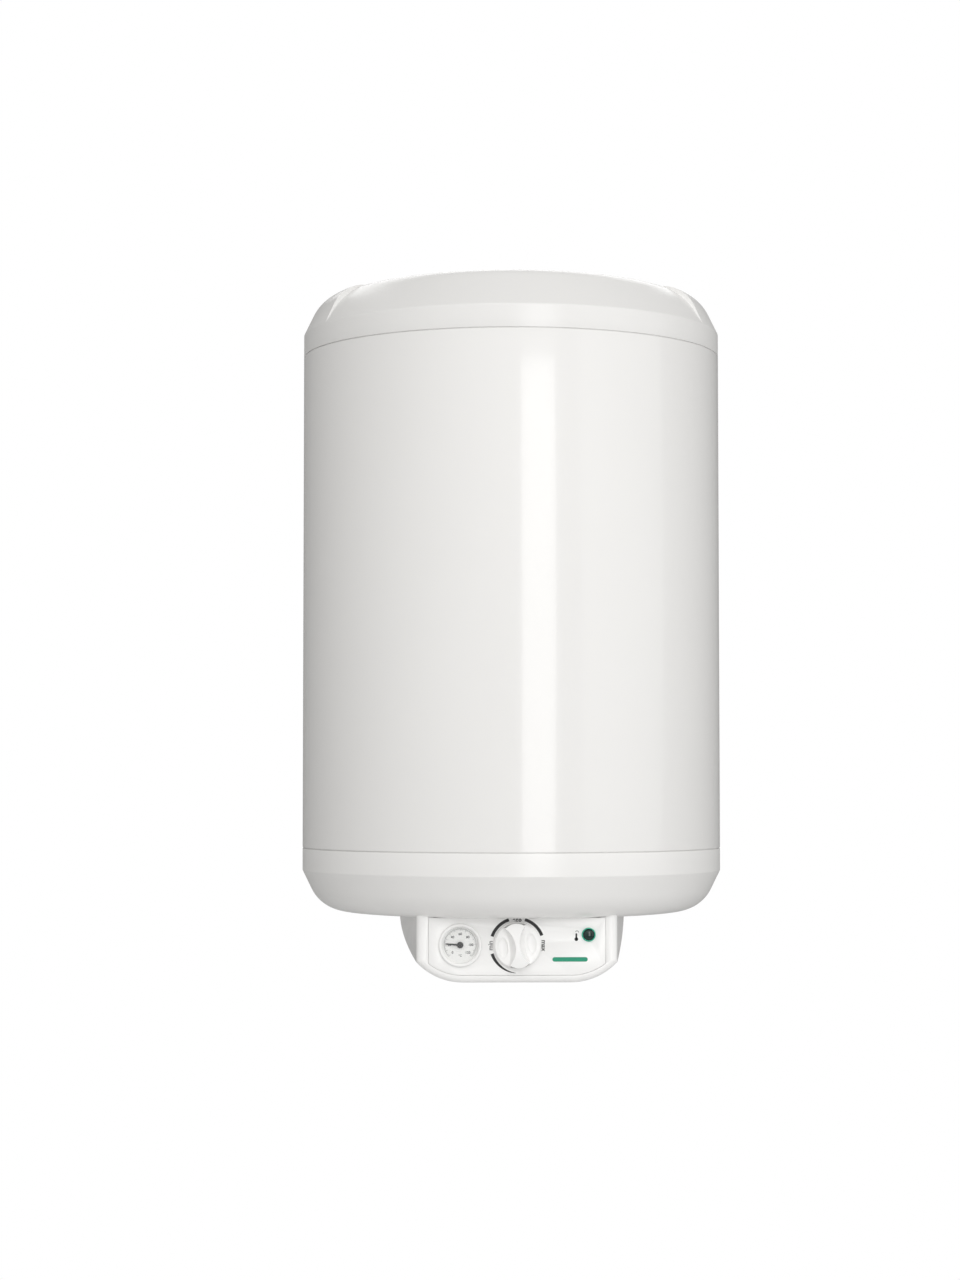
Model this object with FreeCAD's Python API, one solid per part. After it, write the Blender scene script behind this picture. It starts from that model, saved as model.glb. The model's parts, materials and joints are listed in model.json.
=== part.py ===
"""Wall-hung electric storage water heater, about 65 litres, as separate pieces.

Millimetres, +Z up, +Y towards the wall. The origin is the middle of the upper bracket's
two slots, on the wall plane. The control panel faces -Y.
"""
import math
import os

import FreeCAD
import Part

V = FreeCAD.Vector
UP = V(0, 0, 1)
DOWN = V(0, 0, -1)
FRONT = V(0, -1, 0)
BACK = V(0, 1, 0)

# ---- driving dimensions --------------------------------------------------------------
BODY_R = 225.0            # outside of the jacket
STAND_OFF = 20.0          # wall to jacket
AXIS_Y = -(BODY_R + STAND_OFF)
JACKET_TOP = 120.0        # above the upper bracket's slots
JACKET_LENGTH = 528.0
JACKET_BOTTOM = JACKET_TOP - JACKET_LENGTH
JACKET_SHEET = 0.8
SEAM_GAP = 1.0            # shadow line between the jacket and each cap

CAP_WALL = 2.5
CAP_BAND = 24.5           # upright part of a cap
CAP_SLOPE_DEG = 64.0      # shoulder, from horizontal
CAP_SLOPE_RISE = 20.0
CAP_ROUND_R = 42.0        # shoulder into the flat
SPIGOT_DEPTH = 10.0       # cap spigot inside the jacket
RECESS_HALF_DEG = 62.0    # bevel across the front of the top cap
RECESS_TOP_R = 182.0
RECESS_RISE = 42.0

TANK_R = 192.0
TANK_SHEET = 2.0
TANK_LENGTH = 470.0
TANK_TOP = 94.0
TANK_BOTTOM = TANK_TOP - TANK_LENGTH
CROWN_R = 384.0           # dished ends: crown radius, the tank's diameter
KNUCKLE_R = 38.4          # a tenth of the crown radius
DOME_RISE = CROWN_R - math.sqrt((CROWN_R - KNUCKLE_R) ** 2 - (TANK_R - KNUCKLE_R) ** 2)
FOAM_GAP = 0.4

SLOT_SPACING = 240.0
SLOT_R = 6.0
SLOT_LENGTH = 30.0
LOWER_BRACKET_Z = -330.0
BRACKET_SHEET = 3.0
BRACKET_HALF = 150.0
BRACKET_EAR_X = 86.0      # where an ear's bend begins
BRACKET_RAMP = 12.0       # width of the sloping run
BRACKET_BEND_R = 4.0      # inside of a bend
BOLT_X = 40.0
BOLT_R = 5.0              # M10
BOLT_LENGTH = 26.0
BOSS_R = 10.0             # round bosses on the tank that take the bolts
BOSS_CLEARANCE = 0.5

PIPE_X = 50.0
PIPE_BEHIND = 105.0       # pipes behind the heater's axis
PIPE_BORE_R = 8.0
PIPE_R = 10.2
THREAD_R = 10.48          # G 1/2 male thread
THREAD_LENGTH = 20.0
PIPE_DROP = 36.0          # below the bottom cap
PIPE_HOLE_R = 13.0        # holes in the bottom cap

FLANGE_R = 64.0
FLANGE_BORE_R = 40.0
STUD_CIRCLE_R = 54.0
STUD_COUNT = 6

BOX_DROP = 66.0           # control box below the bottom cap
BOX_WALL = 2.5
BOX_FRONT = 165.0         # box face in front of the heater's axis
BOX_BACK = 70.0
BOX_FRONT_HALF = 102.0
BOX_SIDE_HALF = 123.0
BOX_CORNER_R = 65.0
BOX_CORNER_X = 55.0
BOX_EDGE_R = 7.0
BOX_REAR_R = 20.0
PANEL_HALF = 90.5
PANEL_MARGIN = 7.5        # box edge to the panel's groove
PANEL_SHEET = 2.0
PANEL_GAP = 0.4
FACE_WALL = 4.5           # box face, which holds the panel in a rebate
PANEL_LEDGE = 5.0         # width of the rebate
PANEL_TOP_GAP = 1.0       # panel to the bottom cap
SCREW_X = 112.0           # box screws, beside the axis
SCREW_BEHIND = (-24.0, 34.0)
SCREW_SEAT = 20.0         # screw heads below the bottom cap
POST_R = 4.5
POST_HOLE_R = 1.9
HEAD_WELL_R = 3.6
GLAND_R = 8.0

DIAL_RISE = 38.4          # knob and thermometer centres above the box's bottom
GAUGE_X = -58.0
GAUGE_R = 21.9
GAUGE_CASE_R = 20.5
GAUGE_CASE_DEPTH = 17.2
DIAL_PLATE_R = 19.3
GAUGE_LENS_R = 18.6
SPINDLE_R = 0.7
CAPILLARY_R = 0.8
CAPILLARY_DROP = 12.0     # where the thermometer's capillary enters, below its centre
GAUGE_REST_DEG = 85.5     # needle left of 12 o'clock at 22 degrees C
KNOB_R = 24.0
KNOB_REST_DEG = 7.6       # grip left of 12 o'clock
KNOB_DEPTH = 16.0
KNOB_GAP = 1.2            # knob to panel
SHAFT_R = 3.0
THERMOSTAT_DEPTH = 32.0
THERMOSTAT_SCREW_XS = (-14.0, 14.0)
LAMP_X = 73.0
LAMP_RISE = 48.9
LAMP_R = 7.1
LAMP_BARREL_R = 5.9

# ---- places that follow from them ------------------------------------------------------
slope = math.radians(CAP_SLOPE_DEG)
CAP_FLAT = CAP_BAND + CAP_SLOPE_RISE + CAP_ROUND_R * (1 - math.cos(slope))
CAP_BOTTOM = JACKET_BOTTOM - CAP_FLAT
BOX_BOTTOM = CAP_BOTTOM - BOX_DROP
FACE_Y = AXIS_Y - BOX_FRONT
DIAL_Z = BOX_BOTTOM + DIAL_RISE
LAMP_Z = BOX_BOTTOM + LAMP_RISE
TANK_CROWN_LOW = TANK_BOTTOM - DOME_RISE
NECK_FACE = TANK_CROWN_LOW - 6.5
GASKET_SHEET = 3.0
PLATE_TOP = NECK_FACE - GASKET_SHEET
PLATE_SHEET = 5.0
PLATE_BOTTOM = PLATE_TOP - PLATE_SHEET
BOX_FLOOR = BOX_BOTTOM + BOX_WALL
PANEL_BACK_Y = FACE_Y + PANEL_SHEET

nodes = {}


# ---- helpers -------------------------------------------------------------------------
def at(x, behind, z):
    """A point given from the heater's axis: to the right, behind the axis, and up."""
    return V(x, AXIS_Y + behind, z)


def cylinder(radius, length, base, direction=UP):
    return Part.makeCylinder(radius, length, base, direction)


def tube(outer, inner, length, base, direction=UP):
    return cylinder(outer, length, base, direction).cut(cylinder(inner, length, base, direction))


def block(width, depth, height, centre_x, front_y, low_z):
    return Part.makeBox(width, depth, height, V(centre_x - width / 2, front_y, low_z))


def fused(shapes):
    whole = shapes[0]
    for shape in shapes[1:]:
        whole = whole.fuse(shape)
    return whole.removeSplitter()


def polygon_face(points):
    return Part.Face(Part.makePolygon([*points, points[0]]))


def turned(points, degrees=360.0, start_deg=0.0):
    """Turn an outline of (radius, z) points about the heater's axis."""
    face = polygon_face([V(r, 0, z) for r, z in points])
    return turned_face(face, degrees, start_deg)


def turned_face(face, degrees=360.0, start_deg=0.0):
    solid = face.revolve(V(0, 0, 0), UP, degrees)
    solid.rotate(V(0, 0, 0), UP, start_deg)
    solid.translate(V(0, AXIS_Y, 0))
    return solid if solid.Volume > 0 else solid.reversed()


def hexagon(across_flats, height, base, direction=UP):
    """A hexagonal prism, as a nut or a bolt head."""
    corner = across_flats / math.sqrt(3)
    ring = [V(corner * math.cos(math.radians(a)), corner * math.sin(math.radians(a)), 0)
            for a in range(0, 360, 60)]
    prism = polygon_face(ring).extrude(V(0, 0, height))
    prism.Placement = FreeCAD.Placement(base, FreeCAD.Rotation(UP, direction))
    return prism


def nut(across_flats, hole_r, height, base, direction=DOWN):
    return hexagon(across_flats, height, base, direction).cut(
        cylinder(hole_r, height, base, direction))


def bent_rod(points, radius, bend):
    """A round rod or wire along straight runs that tangent arcs join."""
    edges = []
    last = points[0]
    for here, after in zip(points[1:-1], points[2:]):
        before = last if not edges else points[points.index(here) - 1]
        incoming = (before - here).normalize()
        outgoing = (after - here).normalize()
        half = incoming.getAngle(outgoing) / 2
        reach = bend / math.tan(half)
        start = here + incoming * reach
        end = here + outgoing * reach
        middle_way = (incoming + outgoing).normalize()
        centre = here + middle_way * (bend / math.sin(half))
        edges.append(Part.LineSegment(last, start).toShape())
        edges.append(Part.Arc(start, centre - middle_way * bend, end).toShape())
        last = end
    edges.append(Part.LineSegment(last, points[-1]).toShape())
    path = Part.Wire(edges)
    circle = Part.Wire(Part.Circle(points[0], points[1] - points[0], radius).toShape())
    return path.makePipeShell([circle], True, False)


def on_circle(radius, count, start_deg=0.0):
    for step in range(count):
        angle = math.radians(start_deg + 360.0 * step / count)
        yield radius * math.cos(angle), radius * math.sin(angle)


# ---- caps ------------------------------------------------------------------------------
def cap_points(inset):
    """Crease, end of slope, middle and centre of the shoulder's arc, for a surface inset."""
    normal = V(math.sin(slope), 0, math.cos(slope))
    along = V(-math.cos(slope), 0, math.sin(slope))
    crease = V(BODY_R, 0, CAP_BAND)
    slope_end = crease + along * (CAP_SLOPE_RISE / math.sin(slope))
    centre = slope_end - normal * CAP_ROUND_R
    arc_r = CAP_ROUND_R - inset
    middle_angle = (math.pi / 2 - slope + math.pi / 2) / 2
    middle = centre + V(math.cos(middle_angle), 0, math.sin(middle_angle)) * arc_r
    step = inset * (1 - math.sin(slope)) / math.cos(slope)
    inner_crease = crease - normal * inset + along * step
    return inner_crease, slope_end - normal * inset, middle, centre + UP * arc_r


def cap_lump(inset, below, recessed):
    """A solid cap, seam at z = 0 and crown up, that reaches some way below its seam."""
    crease, slope_end, middle, crown_edge = cap_points(inset)
    crown = V(0, 0, crown_edge.z)
    foot = V(BODY_R - inset, 0, -below)
    outline = Part.Wire([
        Part.LineSegment(V(0, 0, -below), foot).toShape(),
        Part.LineSegment(foot, crease).toShape(),
        Part.LineSegment(crease, slope_end).toShape(),
        Part.Arc(slope_end, middle, crown_edge).toShape(),
        Part.LineSegment(crown_edge, crown).toShape(),
        Part.LineSegment(crown, V(0, 0, -below)).toShape(),
    ])
    lump = turned_face(Part.Face(outline))
    if not recessed:
        return lump
    run = BODY_R - RECESS_TOP_R
    length = math.hypot(run, RECESS_RISE)
    shift = V(-RECESS_RISE, 0, -run) * (inset / length)
    low = V(BODY_R, 0, CAP_BAND) + shift
    high = V(RECESS_TOP_R, 0, CAP_BAND + RECESS_RISE) + shift
    way = (high - low).normalize()
    low = low - way * 12
    high = high + way * 12
    extra_deg = math.degrees(inset / RECESS_TOP_R)
    sweep = 2 * (RECESS_HALF_DEG + extra_deg)
    outside = BODY_R + 30
    above = high.z + 20
    ring = [(low.x, low.z), (outside, low.z), (outside, above), (high.x, above), (high.x, high.z)]
    return lump.cut(turned(ring, sweep, -90 - sweep / 2))


def cap_shell(recessed):
    outer = cap_lump(0, 0, recessed)
    inner = cap_lump(CAP_WALL, 1, recessed)
    wall = outer.cut(inner)
    gap = tube(BODY_R + 1, BODY_R - CAP_WALL - 0.1, SEAM_GAP, at(0, 0, 0))
    spigot_r = BODY_R - JACKET_SHEET - 0.5
    spigot = tube(spigot_r, spigot_r - CAP_WALL, SPIGOT_DEPTH + 4, at(0, 0, -SPIGOT_DEPTH))
    return wall.cut(gap).fuse(spigot).removeSplitter()


def mirrored_below(shape):
    """Turn a cap over and put its seam at the jacket's lower edge."""
    turned_over = shape.mirror(V(0, 0, 0), UP)
    turned_over.translate(V(0, 0, JACKET_BOTTOM))
    return turned_over


# ---- control box outlines ----------------------------------------------------------------
def box_front_face(inset):
    """The box seen from the front: a deep U whose lower corners are wide arcs."""
    radius = BOX_CORNER_R - inset
    centre_z = BOX_BOTTOM + BOX_CORNER_R
    top = JACKET_BOTTOM - CAP_BAND
    half = BOX_CORNER_X + radius
    low = BOX_BOTTOM + inset
    diagonal = radius * math.sqrt(0.5)
    right_middle = V(BOX_CORNER_X + diagonal, 0, centre_z - diagonal)
    left_middle = V(-BOX_CORNER_X - diagonal, 0, centre_z - diagonal)
    wire = Part.Wire([
        Part.LineSegment(V(-half, 0, top), V(half, 0, top)).toShape(),
        Part.LineSegment(V(half, 0, top), V(half, 0, centre_z)).toShape(),
        Part.Arc(V(half, 0, centre_z), right_middle, V(BOX_CORNER_X, 0, low)).toShape(),
        Part.LineSegment(V(BOX_CORNER_X, 0, low), V(-BOX_CORNER_X, 0, low)).toShape(),
        Part.Arc(V(-BOX_CORNER_X, 0, low), left_middle, V(-half, 0, centre_z)).toShape(),
        Part.LineSegment(V(-half, 0, centre_z), V(-half, 0, top)).toShape(),
    ])
    return Part.Face(wire)


def box_plan(inset, front_inset):
    """The box seen from above: narrow at the face, wide beside the heater's axis."""
    front = -BOX_FRONT + front_inset
    side = BOX_SIDE_HALF - inset
    corner = BOX_FRONT_HALF - inset
    back = BOX_BACK - inset
    low = BOX_BOTTOM - 5
    ring = [at(-corner, front, low), at(-side, 0, low), at(-side + 6, back, low),
            at(side - 6, back, low), at(side, 0, low), at(corner, front, low)]
    prism = polygon_face(ring).extrude(V(0, 0, BOX_DROP + 60))
    rear = [e for e in edges_at_depth(prism, back) if e.Length > BOX_DROP and abs(e.CenterOfMass.x) > 50]
    return prism.makeFillet(BOX_REAR_R - inset, rear)


def edges_at_depth(shape, behind):
    """The edges that lie in one upright plane behind the heater's axis."""
    return [e for e in shape.Edges
            if all(abs(v.Point.y - AXIS_Y - behind) < 0.001 for v in e.Vertexes)
            and abs(e.CenterOfMass.y - AXIS_Y - behind) < 0.001]


def box_lump(inset, front_inset):
    deep = box_front_face(inset).extrude(V(0, 400, 0))
    deep.translate(V(0, AXIS_Y - 220, 0))
    return deep.common(box_plan(inset, front_inset))


def box_outside():
    """The box's outer form, with its face's outline rounded all the way round."""
    lump = box_lump(0, 0)
    top = JACKET_BOTTOM - CAP_BAND
    outline = [e for e in edges_at_depth(lump, -BOX_FRONT) if e.CenterOfMass.z < top - 1]
    return lump.makeFillet(BOX_EDGE_R, outline)


def face_lump(margin, half, front_y, depth):
    """A slice of the box's front outline, used for the panel and its rebate."""
    piece = box_front_face(margin).extrude(V(0, depth, 0))
    piece.translate(V(0, front_y, 0))
    return piece.common(block(2 * half, depth, BOX_DROP + 60, 0, front_y, BOX_BOTTOM))


# ---- casing --------------------------------------------------------------------------------
cap_low_lump = mirrored_below(cap_lump(0, 0, False))
box_inside = box_lump(BOX_WALL, FACE_WALL)


def bracket_boss_places():
    for z in (0.0, LOWER_BRACKET_Z):
        for x in (-BOLT_X, BOLT_X):
            yield x, z


def make_jacket():
    jacket = tube(BODY_R, BODY_R - JACKET_SHEET, JACKET_LENGTH, at(0, 0, JACKET_BOTTOM))
    for x, z in bracket_boss_places():
        jacket = jacket.cut(cylinder(BOSS_R + BOSS_CLEARANCE, 60, at(x, 180, z), BACK))
    nodes["outer_jacket"] = jacket


def make_caps():
    top = cap_shell(True)
    top.translate(V(0, 0, JACKET_TOP))
    nodes["top_cap"] = top

    bottom = mirrored_below(cap_shell(False))
    opening = box_lump(BOX_WALL + PANEL_LEDGE, FACE_WALL + PANEL_LEDGE).common(
        cylinder(BODY_R - 45, 60, at(0, 0, CAP_BOTTOM - 30)))
    bottom = bottom.cut(opening)
    for x in (-PIPE_X, PIPE_X):
        bottom = bottom.cut(cylinder(PIPE_HOLE_R, 20, at(x, PIPE_BEHIND, CAP_BOTTOM - 10)))
    for x, behind in box_screw_places():
        bottom = bottom.cut(cylinder(POST_HOLE_R, 10, at(x, behind, CAP_BOTTOM - 5)))
    nodes["bottom_cap"] = bottom


def box_screw_places():
    return [(x, behind) for behind in SCREW_BEHIND for x in (-SCREW_X, SCREW_X)]


def make_control_box():
    outer = box_outside()
    shell = outer.cut(box_inside)
    for x, behind in box_screw_places():
        post = cylinder(POST_R, BOX_DROP, at(x, behind, BOX_BOTTOM)).common(outer)
        shell = shell.fuse(post)
    rebate = face_lump(PANEL_MARGIN, PANEL_HALF, FACE_Y, PANEL_SHEET)
    window = face_lump(PANEL_MARGIN + PANEL_LEDGE, PANEL_HALF - PANEL_LEDGE, FACE_Y, FACE_WALL + 1)
    shell = shell.cut(rebate).cut(window).cut(cap_low_lump)
    shell = shell.cut(cylinder(GLAND_R + 0.1, 12, at(0, BOX_BACK - 8, DIAL_Z), BACK))
    for x, behind in box_screw_places():
        shell = shell.cut(cylinder(POST_HOLE_R, BOX_DROP + 5, at(x, behind, BOX_BOTTOM)))
        shell = shell.cut(cylinder(HEAD_WELL_R, BOX_DROP - SCREW_SEAT, at(x, behind, BOX_BOTTOM)))
    nodes["control_box"] = max(shell.Solids, key=lambda s: s.Volume)

    screws = []
    for x, behind in box_screw_places():
        seat = at(x, behind, CAP_BOTTOM - SCREW_SEAT)
        shank = cylinder(POST_HOLE_R - 0.1, SCREW_SEAT + CAP_WALL, seat)
        screws.append(shank.fuse(cylinder(HEAD_WELL_R - 0.2, 2.5, seat, DOWN)))
    nodes["box_screws"] = Part.makeCompound(screws)


def make_control_panel():
    panel = face_lump(PANEL_MARGIN + PANEL_GAP, PANEL_HALF - PANEL_GAP, FACE_Y, PANEL_SHEET)
    above = cylinder(BODY_R, 60, at(0, 0, CAP_BOTTOM - PANEL_TOP_GAP))
    panel = panel.cut(above)
    holes = [(GAUGE_X, DIAL_Z, GAUGE_CASE_R + 0.1), (0, DIAL_Z, SHAFT_R + 1.5),
             (LAMP_X, LAMP_Z, LAMP_BARREL_R + 0.1)]
    holes += [(x, DIAL_Z, 1.7) for x in THERMOSTAT_SCREW_XS]
    for x, z, radius in holes:
        panel = panel.cut(cylinder(radius, 10, V(x, FACE_Y - 2, z), BACK))
    nodes["control_panel"] = panel


# ---- thermometer ---------------------------------------------------------------------------
def gauge_point(forward):
    """A point on the thermometer's axis, forward of the panel's face."""
    return V(GAUGE_X, FACE_Y - forward, DIAL_Z)


def make_thermometer():
    inlet = V(0, 0, -CAPILLARY_DROP)
    case = tube(GAUGE_CASE_R, DIAL_PLATE_R, GAUGE_CASE_DEPTH - 1.2, gauge_point(0), BACK)
    case = case.fuse(cylinder(GAUGE_CASE_R, 1.2, gauge_point(1.2 - GAUGE_CASE_DEPTH), BACK))
    case = case.cut(cylinder(SPINDLE_R + 0.05, 6, gauge_point(-14), BACK))
    case = case.cut(cylinder(1.2, 4, gauge_point(-15) + inlet, BACK))
    nodes["thermometer_case"] = case.removeSplitter()

    bezel_rise = 3.0
    bezel = tube(GAUGE_R, GAUGE_LENS_R, bezel_rise, gauge_point(0), FRONT)
    rim = [e for e in bezel.Edges if abs(e.CenterOfMass.y - (FACE_Y - bezel_rise)) < 0.01]
    nodes["thermometer_bezel"] = bezel.makeFillet(0.8, rim[:1])
    nodes["thermometer_lens"] = cylinder(GAUGE_LENS_R, 1.2, gauge_point(0.4), FRONT)
    dial = cylinder(DIAL_PLATE_R, 0.6, gauge_point(-4), BACK)
    nodes["thermometer_dial"] = dial.cut(cylinder(0.9, 2, gauge_point(-3), BACK))
    movement = tube(9.0, SPINDLE_R + 0.05, 7.0, gauge_point(-4.6), BACK)
    tail = bent_rod([gauge_point(-9) + V(0, 0, -8.9), gauge_point(-9) + inlet,
                     gauge_point(-16.0) + inlet], CAPILLARY_R, 1.5)
    nodes["bourdon_movement"] = movement.fuse(tail)

    pointer = polygon_face([V(-1.1, 0, 0), V(1.1, 0, 0), V(0.55, 0, 14.6), V(0, 0, 15.4),
                            V(-0.55, 0, 14.6)]).extrude(V(0, 0.5, 0))
    pointer.rotate(V(0, 0, 0), FRONT, GAUGE_REST_DEG)
    pointer.translate(gauge_point(-1.2))
    hub = cylinder(3.3, 1.2, gauge_point(-0.9), BACK)
    nodes["thermometer_needle"] = pointer.fuse(hub).removeSplitter()
    nodes["needle_spindle"] = cylinder(SPINDLE_R, 14.6, gauge_point(-2.1), BACK)


# ---- knob and thermostat -------------------------------------------------------------------
def make_knob():
    """A disc whose two sides are scooped away to leave a waisted grip."""
    foot = FACE_Y - KNOB_GAP
    knob = cylinder(KNOB_R, KNOB_DEPTH, V(0, foot, DIAL_Z), FRONT)
    face_edge = [e for e in knob.Edges if abs(e.CenterOfMass.y - (foot - KNOB_DEPTH)) < 0.01]
    knob = knob.makeFillet(1.5, face_edge)
    disc_y = foot - 5.5
    grip_rise = 10.6
    for side in (-1, 1):
        scoop = Part.makeCone(14.5, 21.5, grip_rise, V(side * 25.5, disc_y, DIAL_Z), FRONT)
        edge = block(8, grip_rise, 60, side * 27, disc_y - grip_rise, DIAL_Z - 30)
        knob = knob.cut(scoop).cut(edge)
    knob = knob.cut(cylinder(SHAFT_R, 11, V(0, foot + 1, DIAL_Z), FRONT))
    knob = knob.cut(tube(KNOB_R - 2.5, 7, 3, V(0, foot, DIAL_Z), FRONT))
    knob.rotate(V(0, 0, DIAL_Z), FRONT, KNOB_REST_DEG)
    nodes["thermostat_knob"] = knob
    nodes["thermostat_shaft"] = cylinder(SHAFT_R, 26.0, V(0, foot - 10.0, DIAL_Z), BACK)


def make_thermostat():
    body = block(42, THERMOSTAT_DEPTH, 38, 0, PANEL_BACK_Y, DIAL_Z - 19)
    body = body.makeFillet(2, [e for e in body.Edges if abs(e.tangentAt(0).y) > 0.9])
    body = body.cut(cylinder(SHAFT_R + 0.08, 14.5, V(0, PANEL_BACK_Y, DIAL_Z), BACK))
    screws = []
    for x in THERMOSTAT_SCREW_XS:
        body = body.cut(cylinder(1.5, 8, V(x, PANEL_BACK_Y, DIAL_Z), BACK))
        seat = V(x, FACE_Y, DIAL_Z)
        screws.append(cylinder(1.5, 9, seat, BACK).fuse(cylinder(2.8, 0.9, seat, FRONT)))
    nodes["thermostat_body"] = body
    nodes["thermostat_screws"] = Part.makeCompound(screws)


def make_lamp():
    seat = V(LAMP_X, FACE_Y, LAMP_Z)
    nodes["lamp_rim"] = tube(LAMP_R, LAMP_BARREL_R, 1.6, seat, FRONT)
    foot = seat + V(0, PANEL_SHEET, 0)
    ball = Part.makeSphere(7.2, seat + V(0, 3.6, 0))
    nodes["lamp_lens"] = ball.common(cylinder(LAMP_BARREL_R, 12, foot, FRONT))
    holder_length = 20.0
    holder = cylinder(LAMP_BARREL_R, holder_length, foot, BACK)
    for dx in (-2.5, 2.5):
        holder = holder.fuse(block(0.8, 7, 4, LAMP_X + dx, foot.y + holder_length, LAMP_Z - 2))
    nodes["lamp_holder"] = holder


# ---- tank --------------------------------------------------------------------------------
def dome_edges(offset):
    """A dished end's outline, knuckle and crown arcs, as a wire from its rim to its pole."""
    knuckle = V(TANK_R - KNUCKLE_R, 0, 0)
    crown = V(0, 0, DOME_RISE - CROWN_R)
    way = (knuckle - crown).normalize()
    rim = V(TANK_R + offset, 0, 0)
    joint = crown + way * (CROWN_R + offset)
    pole = V(0, 0, DOME_RISE + offset)
    knuckle_middle = knuckle + (V(1, 0, 0) + way).normalize() * (KNUCKLE_R + offset)
    crown_middle = crown + (way + UP).normalize() * (CROWN_R + offset)
    return [Part.Arc(rim, knuckle_middle, joint).toShape(),
            Part.Arc(joint, crown_middle, pole).toShape()]


def placed_dome(edges, pole):
    """Turn a dome's outline and put it at the shell's top (1) or bottom (-1) edge."""
    dome = turned_face(Part.Face(Part.Wire(edges)))
    if pole < 0:
        dome = dome.mirror(V(0, 0, 0), UP)
    dome.translate(V(0, 0, TANK_TOP if pole > 0 else TANK_BOTTOM))
    return dome


def dome_shell(pole):
    """A dished end in tank sheet."""
    inner_r = TANK_R - TANK_SHEET
    inner_pole = V(0, 0, DOME_RISE - TANK_SHEET)
    rim = Part.LineSegment(V(inner_r, 0, 0), V(TANK_R, 0, 0)).toShape()
    middle = Part.LineSegment(V(0, 0, DOME_RISE), inner_pole).toShape()
    inner = list(reversed(dome_edges(-TANK_SHEET)))
    return placed_dome([rim, *dome_edges(0), middle, *inner], pole)


def dome_clearance(pole):
    """The space that a dome and a little of the shell behind it take out of the foam."""
    radius = TANK_R + FOAM_GAP
    skirt = 5.0
    foot = V(0, 0, -skirt)
    corner = V(radius, 0, -skirt)
    return placed_dome([
        Part.LineSegment(foot, corner).toShape(),
        Part.LineSegment(corner, V(radius, 0, 0)).toShape(),
        *dome_edges(FOAM_GAP),
        Part.LineSegment(V(0, 0, DOME_RISE + FOAM_GAP), foot).toShape(),
    ], pole)


def make_tank():
    nodes["tank_shell"] = tube(TANK_R, TANK_R - TANK_SHEET, TANK_LENGTH, at(0, 0, TANK_BOTTOM))
    nodes["tank_top_dome"] = dome_shell(1)

    neck_r = FLANGE_BORE_R + 5
    low = dome_shell(-1)
    low = low.cut(cylinder(neck_r, 60, at(0, 0, TANK_CROWN_LOW - 20)))
    for x in (-PIPE_X, PIPE_X):
        low = low.cut(cylinder(PIPE_R, 60, at(x, PIPE_BEHIND, TANK_CROWN_LOW - 10)))
    nodes["tank_bottom_dome"] = low

    neck = tube(neck_r, FLANGE_BORE_R, 18.5, at(0, 0, NECK_FACE))
    ring = tube(FLANGE_R, FLANGE_BORE_R, 6.0, at(0, 0, NECK_FACE))
    nodes["flange_neck"] = neck.fuse(ring).removeSplitter()

    bosses = []
    tank_round = cylinder(TANK_R, JACKET_LENGTH, at(0, 0, JACKET_BOTTOM))
    for x, z in bracket_boss_places():
        boss = cylinder(BOSS_R, 60, V(x, -STAND_OFF, z), FRONT).cut(tank_round)
        bosses.append(boss.cut(cylinder(BOLT_R, BOLT_LENGTH, V(x, -STAND_OFF, z), FRONT)))
    nodes["tank_bosses"] = Part.makeCompound(bosses)


def make_foam():
    low = JACKET_BOTTOM + SPIGOT_DEPTH
    high = JACKET_TOP - SPIGOT_DEPTH
    side = tube(BODY_R - JACKET_SHEET, TANK_R, high - low, at(0, 0, low))
    for x, z in bracket_boss_places():
        side = side.cut(cylinder(BOSS_R, 60, V(x, -STAND_OFF + 5, z), FRONT))
    nodes["foam_side"] = side

    ring_inset = JACKET_SHEET + 0.5 + CAP_WALL + FOAM_GAP
    top = cap_lump(CAP_WALL + FOAM_GAP, SPIGOT_DEPTH, True)
    top.translate(V(0, 0, JACKET_TOP))
    collar = cylinder(BODY_R - ring_inset, CAP_FLAT + SPIGOT_DEPTH, at(0, 0, high))
    plug = cylinder(TANK_R - FOAM_GAP, high - TANK_TOP, at(0, 0, TANK_TOP))
    top = top.common(collar).fuse(plug)
    nodes["foam_top"] = top.cut(dome_clearance(1)).removeSplitter()

    pad_low = JACKET_BOTTOM - 34.0
    bottom = cylinder(BODY_R - ring_inset - 2, low - pad_low, at(0, 0, pad_low))
    bottom = bottom.fuse(cylinder(TANK_R - FOAM_GAP, TANK_BOTTOM - low, at(0, 0, low)))
    bottom = bottom.common(mirrored_below(cap_lump(CAP_WALL + FOAM_GAP, 60, False)))
    bottom = bottom.cut(dome_clearance(-1))
    bottom = bottom.cut(cylinder(FLANGE_R + 12, 80, at(0, 0, pad_low - 20)))
    for x in (-PIPE_X, PIPE_X):
        bottom = bottom.cut(cylinder(PIPE_R + FOAM_GAP, 80, at(x, PIPE_BEHIND, pad_low - 10)))
    nodes["foam_bottom"] = bottom.removeSplitter()


# ---- water fittings ------------------------------------------------------------------------
INLET_TOP = TANK_BOTTOM - 40.0
OUTLET_TOP = TANK_TOP + 40.0


def pipe(x, top):
    foot = CAP_BOTTOM - PIPE_DROP
    barrel = cylinder(PIPE_R, top - foot, at(x, PIPE_BEHIND, foot))
    thread = cylinder(THREAD_R, THREAD_LENGTH, at(x, PIPE_BEHIND, foot))
    bore = cylinder(PIPE_BORE_R, top - foot, at(x, PIPE_BEHIND, foot))
    return barrel.fuse(thread).cut(bore).removeSplitter()


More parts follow.
